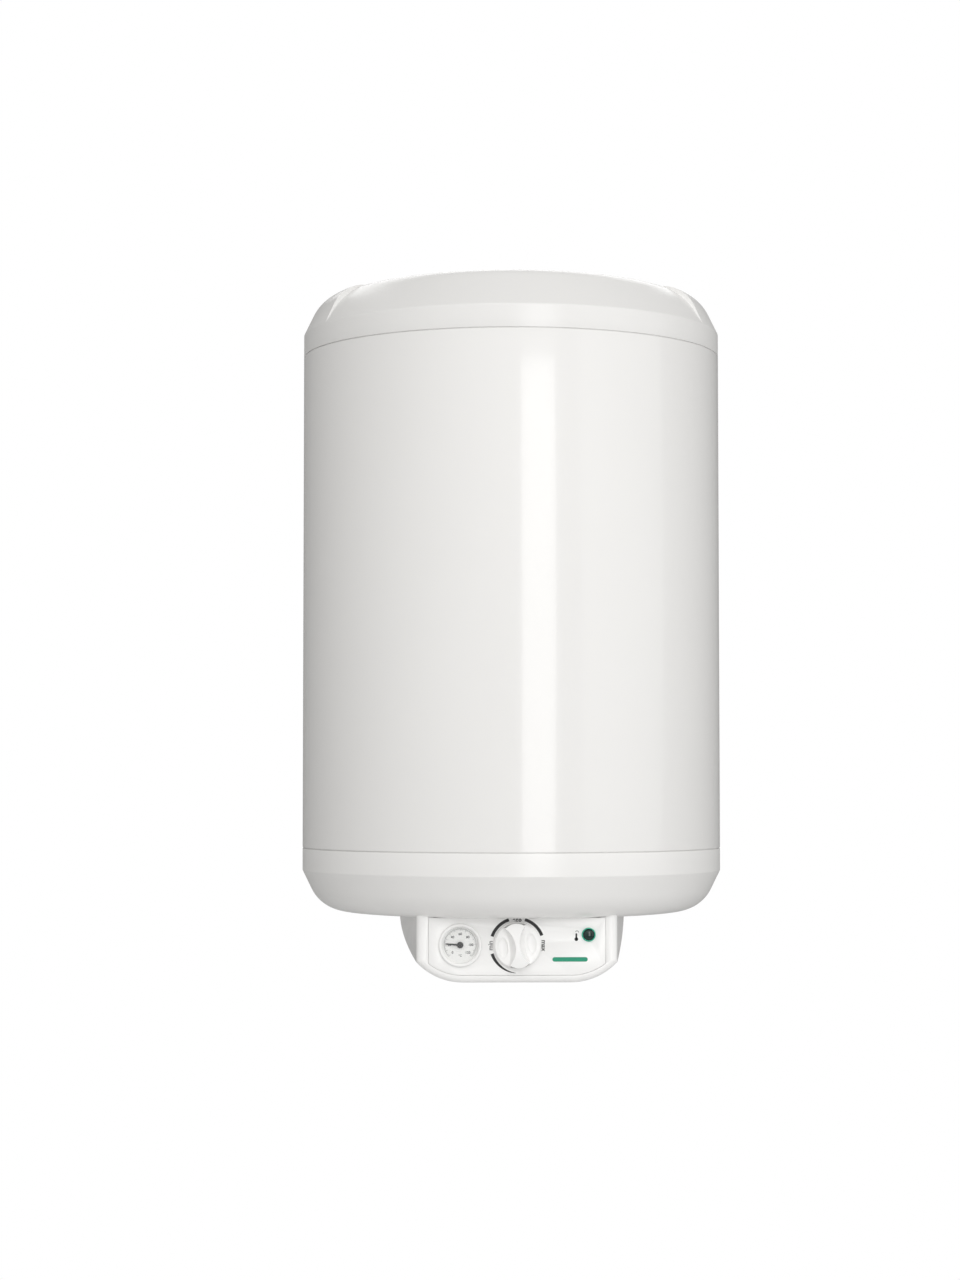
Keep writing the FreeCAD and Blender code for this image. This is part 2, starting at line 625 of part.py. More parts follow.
def make_pipes():
    nodes["cold_inlet_pipe"] = pipe(PIPE_X, INLET_TOP)
    nodes["hot_outlet_pipe"] = pipe(-PIPE_X, OUTLET_TOP)
    for name, x in (("cold_collar", PIPE_X), ("hot_collar", -PIPE_X)):
        bore_r = THREAD_R + 0.3
        sleeve = tube(PIPE_HOLE_R - 0.1, bore_r, CAP_WALL, at(x, PIPE_BEHIND, CAP_BOTTOM))
        lip = tube(17.0, bore_r, 2.5, at(x, PIPE_BEHIND, CAP_BOTTOM - 2.5))
        nodes[name] = sleeve.fuse(lip).removeSplitter()


def make_diffuser():
    """The cup over the inlet pipe that turns the cold water sideways."""
    foot = at(PIPE_X, PIPE_BEHIND, INLET_TOP - 8)
    cup = cylinder(15.0, 30, foot).cut(cylinder(13.0, 27, foot))
    cup = cup.fuse(tube(13.5, PIPE_R, 4, foot))
    for dx, dy in on_circle(14, 6):
        cup = cup.cut(cylinder(2.5, 30, at(PIPE_X, PIPE_BEHIND, INLET_TOP + 8), V(dx, dy, 0)))
    nodes["inlet_diffuser"] = cup


# ---- flange, heating element and anode --------------------------------------------------------
LEG_PLACES = [(14.0, -24.0), (14.0, 24.0)]
WELL_PLACES = [(-8.0, -26.0, 6.0, 5.4), (-30.0, 0.0, 4.5, 3.6)]
WELL_LENGTH = 230.0
ANODE_PLACE = (26.0, 0.0)
ANODE_R = 11.0
ANODE_LENGTH = 260.0
ANODE_CLEAR = 8.0         # anode above the plate
EARTH_PLACE = (-4.0, 34.0)
EARTH_R = 2.0
STUD_LENGTH = 19.5
M8_R = 4.0
M8_FLATS = 13.0
M8_NUT = 6.5
LEG_R = 4.25
LEG_BEND_R = 23.9
BUSH_R = 7.0
ELEMENT_TOP = -174.0
ELEMENT_FOOT = PLATE_BOTTOM - 8.0
TAB_HEIGHT = 14.0         # element foot to the end of its terminals


def make_flange():
    plate = cylinder(FLANGE_R, PLATE_SHEET, at(0, 0, PLATE_BOTTOM))
    studs = []
    nuts = []
    for dx, dy in on_circle(STUD_CIRCLE_R, STUD_COUNT, 30.0):
        plate = plate.cut(cylinder(M8_R + 0.5, 10, at(dx, dy, PLATE_BOTTOM - 2)))
        studs.append(cylinder(M8_R, STUD_LENGTH, at(dx, dy, NECK_FACE - STUD_LENGTH)))
        nuts.append(nut(M8_FLATS, M8_R, M8_NUT, at(dx, dy, PLATE_BOTTOM)))
    for x, y in LEG_PLACES:
        plate = plate.cut(cylinder(BUSH_R, 10, at(x, y, PLATE_BOTTOM - 2)))
    for x, y, well_r, _ in WELL_PLACES:
        plate = plate.cut(cylinder(well_r, 10, at(x, y, PLATE_BOTTOM - 2)))
    plate = plate.cut(cylinder(M8_R, 10, at(*ANODE_PLACE, PLATE_BOTTOM - 2)))
    plate = plate.cut(cylinder(EARTH_R, 10, at(*EARTH_PLACE, PLATE_BOTTOM - 2)))
    nuts.append(nut(M8_FLATS, M8_R, M8_NUT, at(*ANODE_PLACE, PLATE_BOTTOM)))
    nodes["flange_plate"] = plate
    nodes["flange_studs"] = Part.makeCompound(studs)
    nodes["flange_nuts"] = Part.makeCompound(nuts)
    nodes["flange_gasket"] = tube(49.0, FLANGE_BORE_R - 1, GASKET_SHEET, at(0, 0, PLATE_TOP))
    nodes["earth_stud"] = cylinder(EARTH_R, 16, at(*EARTH_PLACE, PLATE_BOTTOM - 11))
    nodes["earth_nut"] = nut(7.0, EARTH_R, 3.2, at(*EARTH_PLACE, PLATE_BOTTOM))


def make_element():
    (x, front), (_, back) = LEG_PLACES
    hairpin = [at(x, front, ELEMENT_FOOT), at(x, front, ELEMENT_TOP), at(x, back, ELEMENT_TOP),
               at(x, back, ELEMENT_FOOT)]
    nodes["heating_element"] = bent_rod(hairpin, LEG_R, LEG_BEND_R)
    bushes = []
    tabs = []
    for px, py in LEG_PLACES:
        bushes.append(tube(BUSH_R, LEG_R, 14, at(px, py, PLATE_BOTTOM - 5)))
        pin = cylinder(1.6, 6, at(px, py, ELEMENT_FOOT), DOWN)
        tab = block(6.3, 0.8, 9, px, AXIS_Y + py - 0.4, ELEMENT_FOOT - TAB_HEIGHT)
        tabs.append(pin.fuse(tab))
    nodes["element_bushes"] = Part.makeCompound(bushes)
    nodes["element_terminals"] = Part.makeCompound(tabs)


def make_wells():
    tubes = []
    for x, y, outer, inner in WELL_PLACES:
        well = cylinder(outer, WELL_LENGTH, at(x, y, PLATE_BOTTOM))
        tubes.append(well.cut(cylinder(inner, WELL_LENGTH - 2, at(x, y, PLATE_BOTTOM))))
    nodes["thermowells"] = Part.makeCompound(tubes)


def make_anode():
    x, y = ANODE_PLACE
    thread = 12.0
    nodes["magnesium_anode"] = cylinder(ANODE_R, ANODE_LENGTH, at(x, y, PLATE_TOP + ANODE_CLEAR))
    stud = cylinder(M8_R, thread + PLATE_SHEET + ANODE_CLEAR, at(x, y, PLATE_BOTTOM - thread))
    shoulder = tube(7.5, M8_R, ANODE_CLEAR, at(x, y, PLATE_TOP))
    nodes["anode_stud"] = stud.fuse(shoulder).removeSplitter()


# ---- safety cut-out and capillaries ---------------------------------------------------------
CUTOUT_HEIGHT = 28.0
CUTOUT_WIDTH = 26.0
CUTOUT_DEPTH = 34.0
BUTTON_BEHIND = 8.0       # reset button, behind the cut-out's stem
BUTTON_R = 3.0
BUTTON_STANDS = 2.2       # proud of the cut-out


def make_cutout():
    x, y, _, _ = WELL_PLACES[1]
    foot = PLATE_BOTTOM - CUTOUT_HEIGHT
    body = block(CUTOUT_WIDTH, CUTOUT_DEPTH, CUTOUT_HEIGHT, x, AXIS_Y + y - CUTOUT_DEPTH / 2, foot)
    nodes["cutout_body"] = body.cut(cylinder(BUTTON_R + 0.1, 6, at(x, y + BUTTON_BEHIND, foot)))
    nodes["cutout_stem"] = cylinder(3.0, 200, at(x, y, PLATE_BOTTOM))
    button = cylinder(BUTTON_R, 6.0, at(x, y + BUTTON_BEHIND, foot - BUTTON_STANDS))
    nodes["cutout_reset_button"] = button


def make_capillaries():
    """Two bulbs side by side in the wide well, each on a thin line."""
    x, y, _, _ = WELL_PLACES[0]
    bulb_r = 2.5
    bulb_length = 110.0
    bulb_offset = 2.6
    mouth = PLATE_BOTTOM + 80
    low = PLATE_BOTTOM - 16
    bulb_x = x - bulb_offset
    line = bent_rod([at(bulb_x, y, mouth), at(bulb_x, y, low),
                     V(bulb_x, PANEL_BACK_Y + THERMOSTAT_DEPTH, low)], CAPILLARY_R, 8)
    bulb = cylinder(bulb_r, bulb_length, at(bulb_x, y, mouth))
    nodes["thermostat_capillary"] = line.fuse(bulb)

    bulb_x = x + bulb_offset
    lower = low - 9
    entry = gauge_point(-GAUGE_CASE_DEPTH) + V(0, 0, -CAPILLARY_DROP)
    turn_y = entry.y + 30
    line = bent_rod([at(bulb_x, y, mouth), at(bulb_x, y, lower), V(bulb_x, turn_y, lower),
                     V(GAUGE_X, turn_y, lower), V(GAUGE_X, turn_y, entry.z), entry], CAPILLARY_R, 6)
    bulb = cylinder(bulb_r, bulb_length, at(bulb_x, y, mouth))
    nodes["thermometer_capillary"] = line.fuse(bulb)


# ---- electrical connections -----------------------------------------------------------------
TERMINAL_Y = AXIS_Y + 22.0
TERMINAL_DEPTH = 24.0
TERMINAL_HEIGHT = 17.0
TERMINAL_XS = (-26.0, 0.0, 26.0)
WIRE_R = 1.4
WIRE_BEND = 4.0


def make_terminals():
    front = TERMINAL_Y - TERMINAL_DEPTH / 2
    base = block(78, TERMINAL_DEPTH, TERMINAL_HEIGHT, 0, front, BOX_FLOOR)
    screws = []
    well = 8.0
    for x in TERMINAL_XS:
        floor = V(x, TERMINAL_Y, BOX_FLOOR + TERMINAL_HEIGHT - well)
        base = base.cut(cylinder(3.2, well, floor))
        screws.append(cylinder(3.0, well / 2, floor))
    nodes["terminal_block"] = base
    nodes["terminal_screws"] = Part.makeCompound(screws)


def make_gland():
    hole = at(0, BOX_BACK - BOX_WALL, DIAL_Z)
    barrel = cylinder(GLAND_R, 14, hole - V(0, 8, 0), BACK)
    shoulder = hexagon(19.0, 5.0, at(0, BOX_BACK, DIAL_Z), BACK)
    dome = Part.makeCone(8.5, 6.5, 8.0, at(0, BOX_BACK + 5, DIAL_Z), BACK)
    body = fused([barrel, shoulder, dome])
    nodes["cable_gland"] = body.cut(cylinder(4.5, 40, hole - V(0, 12, 0), BACK))
    nodes["gland_nut"] = nut(20.0, GLAND_R, 5.0, hole, FRONT)


def make_wires():
    """Line: block, cut-out, thermostat, element. Neutral and earth go straight back."""
    front = TERMINAL_Y - TERMINAL_DEPTH / 2
    (left, _, right) = TERMINAL_XS
    low = BOX_FLOOR + 8
    tab_low = ELEMENT_FOOT - TAB_HEIGHT
    cut_x, cut_y, _, _ = WELL_PLACES[1]
    cut_front = AXIS_Y + cut_y - CUTOUT_DEPTH / 2
    body_back = PANEL_BACK_Y + THERMOSTAT_DEPTH
    loop_z = DIAL_Z - 8

    clear_x = -52.0
    side_y = cut_front + 10
    side_z = PLATE_BOTTOM - 18
    block_to_cutout = [V(left, front, low), V(left, front - 20, low), V(clear_x, front - 20, low),
                       V(clear_x, side_y, low), V(clear_x, side_y, side_z),
                       V(cut_x - CUTOUT_WIDTH / 2, side_y, side_z)]
    leave_y = cut_front - 30
    cutout_to_thermostat = [V(cut_x, cut_front, side_z - 2), V(cut_x, leave_y, side_z - 2),
                            V(cut_x, leave_y, loop_z), V(-12, leave_y, loop_z),
                            V(-12, body_back, loop_z)]
    (leg_x, leg_front), (_, leg_back) = LEG_PLACES
    under = tab_low - 14
    thermostat_to_element = [V(leg_x, body_back, loop_z), V(leg_x, body_back + 30, loop_z),
                             V(leg_x, body_back + 30, under), V(leg_x, AXIS_Y + leg_front, under),
                             V(leg_x, AXIS_Y + leg_front, tab_low)]
    browns = [block_to_cutout, cutout_to_thermostat, thermostat_to_element]
    nodes["brown_wires"] = Part.makeCompound([bent_rod(way, WIRE_R, WIRE_BEND) for way in browns])

    element_to_block = [V(leg_x, AXIS_Y + leg_back, tab_low), V(leg_x, AXIS_Y + leg_back, tab_low - 10),
                        V(leg_x, front - 14, tab_low - 10), V(leg_x, front - 14, low),
                        V(leg_x, front, low)]
    nodes["blue_wire"] = bent_rod(element_to_block, WIRE_R, WIRE_BEND)

    earth_x, earth_y = EARTH_PLACE
    stud_end = PLATE_BOTTOM - 11
    over_x = right + 8
    earth = [at(earth_x, earth_y, stud_end), at(earth_x, earth_y, stud_end - 13),
             at(over_x, earth_y, stud_end - 13), at(over_x, earth_y, BOX_FLOOR + TERMINAL_HEIGHT)]
    nodes["earth_wire"] = bent_rod(earth, WIRE_R, WIRE_BEND)


# ---- wall brackets -------------------------------------------------------------------------
def bracket(z, height):
    """A strip bent to a hat: its ears lie on the wall, its crown on the tank's bosses."""
    depth = STAND_OFF - BRACKET_SHEET
    shift = BRACKET_SHEET * math.tan(math.atan2(depth, BRACKET_RAMP) / 2)
    crown_x = BRACKET_EAR_X - BRACKET_RAMP
    outline = [(BRACKET_HALF, 0), (BRACKET_EAR_X, 0), (crown_x, -depth)]
    outline += [(-x, y) for x, y in reversed(outline)]
    back = [(BRACKET_HALF, -BRACKET_SHEET), (BRACKET_EAR_X + shift, -BRACKET_SHEET),
            (crown_x + shift, -STAND_OFF)]
    back += [(-x, y) for x, y in reversed(back)]
    ring = [V(x, y, z - height / 2) for x, y in outline + back[::-1]]
    strip = polygon_face(ring).extrude(V(0, 0, height))
    outside_r = BRACKET_BEND_R + BRACKET_SHEET
    bends = [(BRACKET_EAR_X, 0, outside_r), (crown_x + shift, -STAND_OFF, outside_r),
             (crown_x, -depth, BRACKET_BEND_R), (BRACKET_EAR_X + shift, -BRACKET_SHEET, BRACKET_BEND_R)]
    for x, y, radius in bends:
        edges = [e for e in strip.Edges
                 if abs(abs(e.CenterOfMass.x) - x) < 0.01 and abs(e.CenterOfMass.y - y) < 0.01]
        strip = strip.makeFillet(radius, edges)
    corners = [e for e in strip.Edges if abs(abs(e.CenterOfMass.x) - BRACKET_HALF) < 0.01
               and abs(e.CenterOfMass.z - z) > height / 2 - 0.01]
    strip = strip.makeFillet(6.0, corners)
    for x in (-SLOT_SPACING / 2, SLOT_SPACING / 2):
        reach = SLOT_LENGTH / 2 - SLOT_R
        slot = block(2 * reach, 10, 2 * SLOT_R, x, -5, z - SLOT_R)
        for dx in (-reach, reach):
            slot = slot.fuse(cylinder(SLOT_R, 10, V(x + dx, -5, z), BACK))
        strip = strip.cut(slot)
    for x in (-BOLT_X, BOLT_X):
        strip = strip.cut(cylinder(BOLT_R + 0.5, 10, V(x, -STAND_OFF - 3, z), BACK))
    return strip


def make_brackets():
    nodes["upper_wall_bracket"] = bracket(0.0, 56.0)
    nodes["lower_wall_bracket"] = bracket(LOWER_BRACKET_Z, 40.0)
    bolts = []
    crown = -STAND_OFF + BRACKET_SHEET
    for x, z in bracket_boss_places():
        shank = cylinder(BOLT_R, BOLT_LENGTH, V(x, crown, z), FRONT)
        bolts.append(shank.fuse(hexagon(16.0, 6.4, V(x, crown, z), BACK)))
    nodes["bracket_bolts"] = Part.makeCompound(bolts)


def main():
    make_jacket()
    make_caps()
    make_control_box()
    make_control_panel()
    make_thermometer()
    make_knob()
    make_thermostat()
    make_lamp()
    make_tank()
    make_foam()
    make_pipes()
    make_diffuser()
    make_flange()
    make_element()
    make_wells()
    make_anode()
    make_cutout()
    make_capillaries()
    make_terminals()
    make_gland()
    make_wires()
    make_brackets()
    os.makedirs("parts", exist_ok=True)
    for name, shape in nodes.items():
        shape.exportStep(f"parts/{name}.step")
    print(len(nodes), "pieces")


main()
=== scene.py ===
"""Looks of a wall-hung tank water heater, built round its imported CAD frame. Metres, +Y to the wall."""
import json
import math

import bmesh
import bpy
from mathutils import Matrix, Vector


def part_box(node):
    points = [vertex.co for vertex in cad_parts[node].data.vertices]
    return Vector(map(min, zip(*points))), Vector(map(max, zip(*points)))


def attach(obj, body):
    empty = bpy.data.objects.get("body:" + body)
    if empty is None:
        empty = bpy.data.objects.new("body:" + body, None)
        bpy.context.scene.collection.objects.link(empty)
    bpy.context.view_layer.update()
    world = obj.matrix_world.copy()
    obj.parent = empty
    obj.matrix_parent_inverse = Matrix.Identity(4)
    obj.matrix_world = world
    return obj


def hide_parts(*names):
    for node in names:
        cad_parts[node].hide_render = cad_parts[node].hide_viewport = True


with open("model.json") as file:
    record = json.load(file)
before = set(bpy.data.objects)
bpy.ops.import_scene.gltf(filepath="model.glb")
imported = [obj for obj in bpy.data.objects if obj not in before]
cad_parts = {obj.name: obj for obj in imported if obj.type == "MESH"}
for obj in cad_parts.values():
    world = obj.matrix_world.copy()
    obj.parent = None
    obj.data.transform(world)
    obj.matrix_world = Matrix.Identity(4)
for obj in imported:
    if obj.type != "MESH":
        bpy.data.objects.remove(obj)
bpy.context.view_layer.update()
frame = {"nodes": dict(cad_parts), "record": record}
NODES = frame["nodes"]
MM = 0.001


# ---- places, read from the frame -----------------------------------------------------------
def middle(node):
    low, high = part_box(node)
    return (low + high) / 2


jacket_low, jacket_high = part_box("outer_jacket")
BODY_R = round((jacket_high.x - jacket_low.x) / 2, 4)
AXIS_Y = round((jacket_low.y + jacket_high.y) / 2, 4)
JACKET_TOP = jacket_high.z
JACKET_BOTTOM = jacket_low.z
CROWN_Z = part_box("top_cap")[1].z - JACKET_TOP
FACE_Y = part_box("control_panel")[0].y
BOX_LOW, BOX_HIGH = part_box("control_box")
GAUGE = middle("thermometer_bezel")
KNOB = middle("thermostat_knob")
LAMP = middle("lamp_rim")

# ---- sizes that the frame doesn't say ------------------------------------------------------
GAUGE_REST = math.radians(85.5)    # needle, left of 12 o'clock
KNOB_REST = math.radians(7.6)      # grip, left of 12 o'clock
JACKET_SHEET = 0.8 * MM
SEAM_GAP = 1.0 * MM
SPIGOT_R = BODY_R - 1.3 * MM
SPIGOT_DEPTH = 10 * MM
CAP_WALL = 2.5 * MM
CAP_BAND = 24.5 * MM
CAP_SLOPE = math.radians(64)
CAP_SLOPE_RISE = 20 * MM
CAP_ROUND_R = 42 * MM
CREASE_R = 3 * MM
RECESS_TOP_R = 182 * MM
RECESS_RISE = 42 * MM
RECESS_HALF = 62.0         # degrees to each side of the front
RECESS_FADE = 34.0         # degrees from which the recess slowly gets shallower
RECESS_END_SHARE = 0.42    # share of its depth left where its end wall stands
RECESS_END = 0.9           # degrees over which that wall comes up
RECESS_GROOVE = 1.5 * MM   # depth of the fine groove along each end
GROOVE_HALF = 0.3          # degrees, half the groove's width
GROOVE_FADE = 4 * MM       # recess depth under which the groove gets shallower
RECESS_EDGE = 7.0 * MM     # height over which the bevel softens into the crown
BOLT_X = 40 * MM
BOSS_HOLE_R = 10.5 * MM
PIPE_X = 50 * MM
PIPE_BEHIND = 105 * MM
PIPE_HOLE_R = 13 * MM
THREAD_PITCH = 1.814 * MM
THREAD_R = 10.48 * MM
THREAD_ROOT_R = 9.35 * MM
THREAD_LENGTH = 20 * MM
PIPE_BORE_R = 8 * MM
KNOB_R = 24 * MM
PRINT = 0.06 * MM         # thickness of printed ink
PLASTIC_IOR = 1.45
COAT_ROUGHNESS = 0.04
BEVEL_STEPS = 2
ROOM_LEVEL = 0.31
ROOM_GLOWS = ((-70, 0, 0.18), (-35, 0, 0.34), (0, 50, 1.39))    # azimuth, lift, strength
ROOM_FOCUS = 6.0          # how tightly a glow keeps to its direction
LIGHT_TARGET_Z = -0.15


# ---- materials -------------------------------------------------------------------------------
class Nodes:
    """A small helper that adds and links shader nodes."""

    def __init__(self, tree):
        self.tree = tree

    def add(self, kind, **inputs):
        node = self.tree.nodes.new(kind)
        for name, value in inputs.items():
            self.set(node.inputs[name.replace("_", " ")], value)
        return node

    def maths(self, operation, *values):
        node = self.tree.nodes.new("ShaderNodeMath")
        node.operation = operation
        for socket, value in zip(node.inputs, values):
            self.set(socket, value)
        return node.outputs[0]

    def set(self, socket, value):
        if isinstance(value, bpy.types.NodeSocket):
            self.tree.links.new(value, socket)
        else:
            socket.default_value = value


def new_material(name):
    """A material, its node helper and its Principled shader."""
    material = bpy.data.materials.new(name)
    material.use_nodes = True
    return material, Nodes(material.node_tree), material.node_tree.nodes["Principled BSDF"]


def surface(name, color, rough, *, metallic=0.0, coat=0.0, specular=0.5, alpha=1.0,
            vary=0.03, blotch=40.0, rough_spread=0.04, grain=1200.0, grain_height=0.01,
            swell=0.0, swell_scale=(6.0, 6.0, 1.5), stretch=(1, 1, 1), cells=False, second=None):
    """A glossy, satin or metal surface whose colour, roughness and height vary a little."""
    material, n, shader = new_material(name)
    where = n.add("ShaderNodeTexCoord").outputs["Object"]
    placed = n.add("ShaderNodeMapping", Vector=where, Scale=stretch).outputs["Vector"]

    clouds = n.add("ShaderNodeTexNoise", Vector=placed, Scale=blotch, Detail=4.0, Roughness=0.55)
    mix = n.tree.nodes.new("ShaderNodeMix")
    mix.data_type = "RGBA"
    dark = second or [c * (1 - vary) for c in color]
    light = color if second else [min(1.0, c * (1 + vary * 0.6)) for c in color]
    n.set(mix.inputs["Factor"], clouds.outputs["Fac"])
    n.set(mix.inputs["A"], (*dark, 1))
    n.set(mix.inputs["B"], (*light, 1))
    if second:
        bands = n.tree.nodes.new("ShaderNodeMapRange")
        n.set(bands.inputs["Value"], clouds.outputs["Fac"])
        n.set(bands.inputs["From Min"], 0.45)
        n.set(bands.inputs["From Max"], 0.55)
        n.set(mix.inputs["Factor"], bands.outputs["Result"])
    n.set(shader.inputs["Base Color"], mix.outputs["Result"])

    smears = n.add("ShaderNodeTexNoise", Vector=placed, Scale=blotch * 3.1, Detail=3.0, Roughness=0.6)
    polish = n.maths("MULTIPLY_ADD", smears.outputs["Fac"], 4 * rough_spread, rough - 2 * rough_spread)
    n.set(shader.inputs["Roughness"], polish)

    if cells:
        fine = n.add("ShaderNodeTexVoronoi", Vector=placed, Scale=grain).outputs["Distance"]
    else:
        fine = n.add("ShaderNodeTexNoise", Vector=placed, Scale=grain, Detail=2.0).outputs["Fac"]
    bump = n.add("ShaderNodeBump", Height=fine, Distance=grain_height * MM, Strength=1.0)
    if swell:
        wide = n.add("ShaderNodeMapping", Vector=where, Scale=swell_scale).outputs["Vector"]
        waves = n.add("ShaderNodeTexNoise", Vector=wide, Scale=1.0, Detail=1.0).outputs["Fac"]
        under = n.add("ShaderNodeBump", Height=waves, Distance=swell * MM, Strength=1.0)
        n.set(bump.inputs["Normal"], under.outputs["Normal"])
    n.set(shader.inputs["Normal"], bump.outputs["Normal"])
    shader.inputs["Metallic"].default_value = metallic
    shader.inputs["Coat Weight"].default_value = coat
    shader.inputs["Coat Roughness"].default_value = COAT_ROUGHNESS
    shader.inputs["Specular IOR Level"].default_value = specular
    shader.inputs["IOR"].default_value = PLASTIC_IOR
    shader.inputs["Alpha"].default_value = alpha
    return material


FINISH = {
    "white_enamel": surface("white_enamel", (0.885, 0.878, 0.864), 0.14, vary=0.012, blotch=9, grain=420,
                            grain_height=0.0025, swell=0.05, swell_scale=(14, 14, 1.2), coat=0.25),
    "white_plastic": surface("white_plastic", (0.880, 0.874, 0.860), 0.24, vary=0.012, blotch=25, grain=520,
                             grain_height=0.002, swell=0.02, swell_scale=(9, 9, 9), rough_spread=0.012),
    # painted light: a brighter copy of white_plastic that stands in for the extra light falling on the
    # front-facing box, face plate, knob and gauge ring
    "painted_lit_white_plastic": surface("painted_lit_white_plastic", (0.955, 0.952, 0.942), 0.24, vary=0.012, blotch=25, grain=520,
                              grain_height=0.002, swell=0.01, swell_scale=(9, 9, 9), rough_spread=0.012),
    "clear_lens": surface("clear_lens", (0.96, 0.98, 0.98), 0.03, alpha=0.05, specular=0.5, vary=0.0,
                          rough_spread=0.01, grain_height=0.0004),
    "dial_white": surface("dial_white", (0.94, 0.94, 0.925), 0.42, vary=0.02, blotch=160, grain=4000,
                          grain_height=0.002),
    "black_plastic": surface("black_plastic", (0.014, 0.014, 0.015), 0.38, specular=0.2, vary=0.25,
                             blotch=120, grain=3000, grain_height=0.006),
    "green_lens": surface("green_lens", (0.001, 0.022, 0.016), 0.05, vary=0.3, blotch=260, grain=900,
                          grain_height=0.001, coat=0.3, rough_spread=0.02),
    "green_rim": surface("green_rim", (0.008, 0.420, 0.260), 0.22, vary=0.08, blotch=300, grain=3000,
                         grain_height=0.003, coat=0.5),
    "zinc_steel": surface("zinc_steel", (0.60, 0.61, 0.63), 0.34, metallic=1.0, vary=0.16, blotch=60,
                          rough_spread=0.10, grain=700, grain_height=0.006, stretch=(0.35, 1, 1)),
    "tank_steel": surface("tank_steel", (0.050, 0.075, 0.130), 0.30, vary=0.25, blotch=30, grain=500,
                          grain_height=0.01, coat=0.3),
    "pu_foam": surface("pu_foam", (0.78, 0.66, 0.36), 0.85, vary=0.12, blotch=35, grain=420,
                       grain_height=0.25, cells=True),
    "copper_tube": surface("copper_tube", (0.72, 0.38, 0.24), 0.28, metallic=1.0, vary=0.18, blotch=50,
                           rough_spread=0.1, grain=900, grain_height=0.004),
    "brass": surface("brass", (0.72, 0.55, 0.26), 0.26, metallic=1.0, vary=0.12, blotch=80,
                     rough_spread=0.08, grain=1200, grain_height=0.004),
    "incoloy": surface("incoloy", (0.30, 0.29, 0.28), 0.45, metallic=1.0, vary=0.3, blotch=45,
                       rough_spread=0.12, grain=800, grain_height=0.01),
    "magnesium": surface("magnesium", (0.62, 0.63, 0.64), 0.5, metallic=1.0, vary=0.2, blotch=60,
                         rough_spread=0.12, grain=600, grain_height=0.03),
    "blue_plastic": surface("blue_plastic", (0.020, 0.110, 0.480), 0.30, vary=0.08, blotch=120, grain=2600,
                            grain_height=0.005),
    "red_plastic": surface("red_plastic", (0.520, 0.022, 0.020), 0.30, vary=0.08, blotch=120, grain=2600,
                           grain_height=0.005),
    "rubber_black": surface("rubber_black", (0.022, 0.022, 0.022), 0.75, vary=0.3, blotch=90, grain=2000,
                            grain_height=0.02),
    "grey_plastic": surface("grey_plastic", (0.36, 0.37, 0.37), 0.40, vary=0.06, blotch=90, grain=2600,
                            grain_height=0.008),
    "wire_brown": surface("wire_brown", (0.160, 0.060, 0.022), 0.40, vary=0.15, grain_height=0.004),
    "wire_blue": surface("wire_blue", (0.030, 0.120, 0.480), 0.40, vary=0.15, grain_height=0.004),
    "wire_green_yellow": surface("wire_green_yellow", (0.75, 0.62, 0.03), 0.40, second=(0.02, 0.28, 0.05),
                                 blotch=90, grain_height=0.004),
    "ink_black": surface("ink_black", (0.012, 0.012, 0.013), 0.45, vary=0.4, blotch=500, grain=3000,
                         grain_height=0.004),
    "ink_grey": surface("ink_grey", (0.130, 0.132, 0.135), 0.45, vary=0.25, blotch=500, grain=3000,
                        grain_height=0.004),
    "ink_green": surface("ink_green", (0.008, 0.300, 0.170), 0.40, vary=0.15, blotch=300, grain=3000,
                         grain_height=0.004),
}


def paint_cad_nodes():
    for part in frame["record"]["subparts"]:
        for place in NODES[part["node"]].material_slots:
            place.material = FINISH[part["material_slot"]]


# ---- mesh helpers ------------------------------------------------------------------------------
def quad(bm, *corners):
    """A face from these vertices, leaving out repeated ones."""
    ring = [v for i, v in enumerate(corners) if v not in corners[:i]]
    if len(ring) > 2:
        bm.faces.new(ring)


def skin(bm, rows, close_rows=False, close_columns=True):
    """Faces between neighbouring rows of vertices."""
    following = rows[1:] + (rows[:1] if close_rows else [])
    for low, high in zip(rows, following):
        last = len(low) if close_columns else len(low) - 1
        for i in range(last):
            j = (i + 1) % len(low)
            quad(bm, low[i], low[j], high[j], high[i])


def round_row(bm, radius, height, segments):
    turns = [2 * math.pi * i / segments for i in range(segments)]
    return [bm.verts.new((radius * math.cos(t), radius * math.sin(t), height)) for t in turns]


def lathe(section, segments=96, loop=False):
    """A mesh turned about Z from (radius, height) points; loop joins the last point to the first."""
    bm = bmesh.new()
    rows = []
    for radius, height in section:
        if radius < 1e-7:
            rows.append([bm.verts.new((0, 0, height))] * segments)
            continue
        rows.append(round_row(bm, radius, height, segments))
    skin(bm, rows, close_rows=loop)
    return bm


def rounded(points, radii, steps=5):
    """An outline whose corners are arcs: points are (r, z), and radii gives each corner's radius."""
    out = []
    for i, (point, radius) in enumerate(zip(points, radii)):
        here = Vector(point)
        if radius == 0:
            out.append(tuple(here))
            continue
        to_last = (Vector(points[i - 1]) - here).normalized()
        to_next = (Vector(points[(i + 1) % len(points)]) - here).normalized()
        half = to_last.angle(to_next) / 2
        start = here + to_last * radius / math.tan(half)
        end = here + to_next * radius / math.tan(half)
        centre = here + (to_last + to_next).normalized() * radius / math.sin(half)
        sweep = math.pi - 2 * half
        a, b = start - centre, end - centre
        for k in range(steps + 1):
            t = k / steps
            spread = a * math.sin((1 - t) * sweep) + b * math.sin(t * sweep)
            out.append(tuple(centre + spread / math.sin(sweep)))
    return out


def facing(x, z, y=None):
    """Local X to the right, Y up and Z towards someone in front of the panel."""
    depth = FACE_Y if y is None else y
    return Matrix(((1, 0, 0, x), (0, 0, -1, depth), (0, 1, 0, z), (0, 0, 0, 1)))


def mesh_from(name, bm):
    """A mesh made from a bmesh, which is freed."""
    mesh = bpy.data.meshes.new(name)
    bm.to_mesh(mesh)
    bm.free()
    return mesh


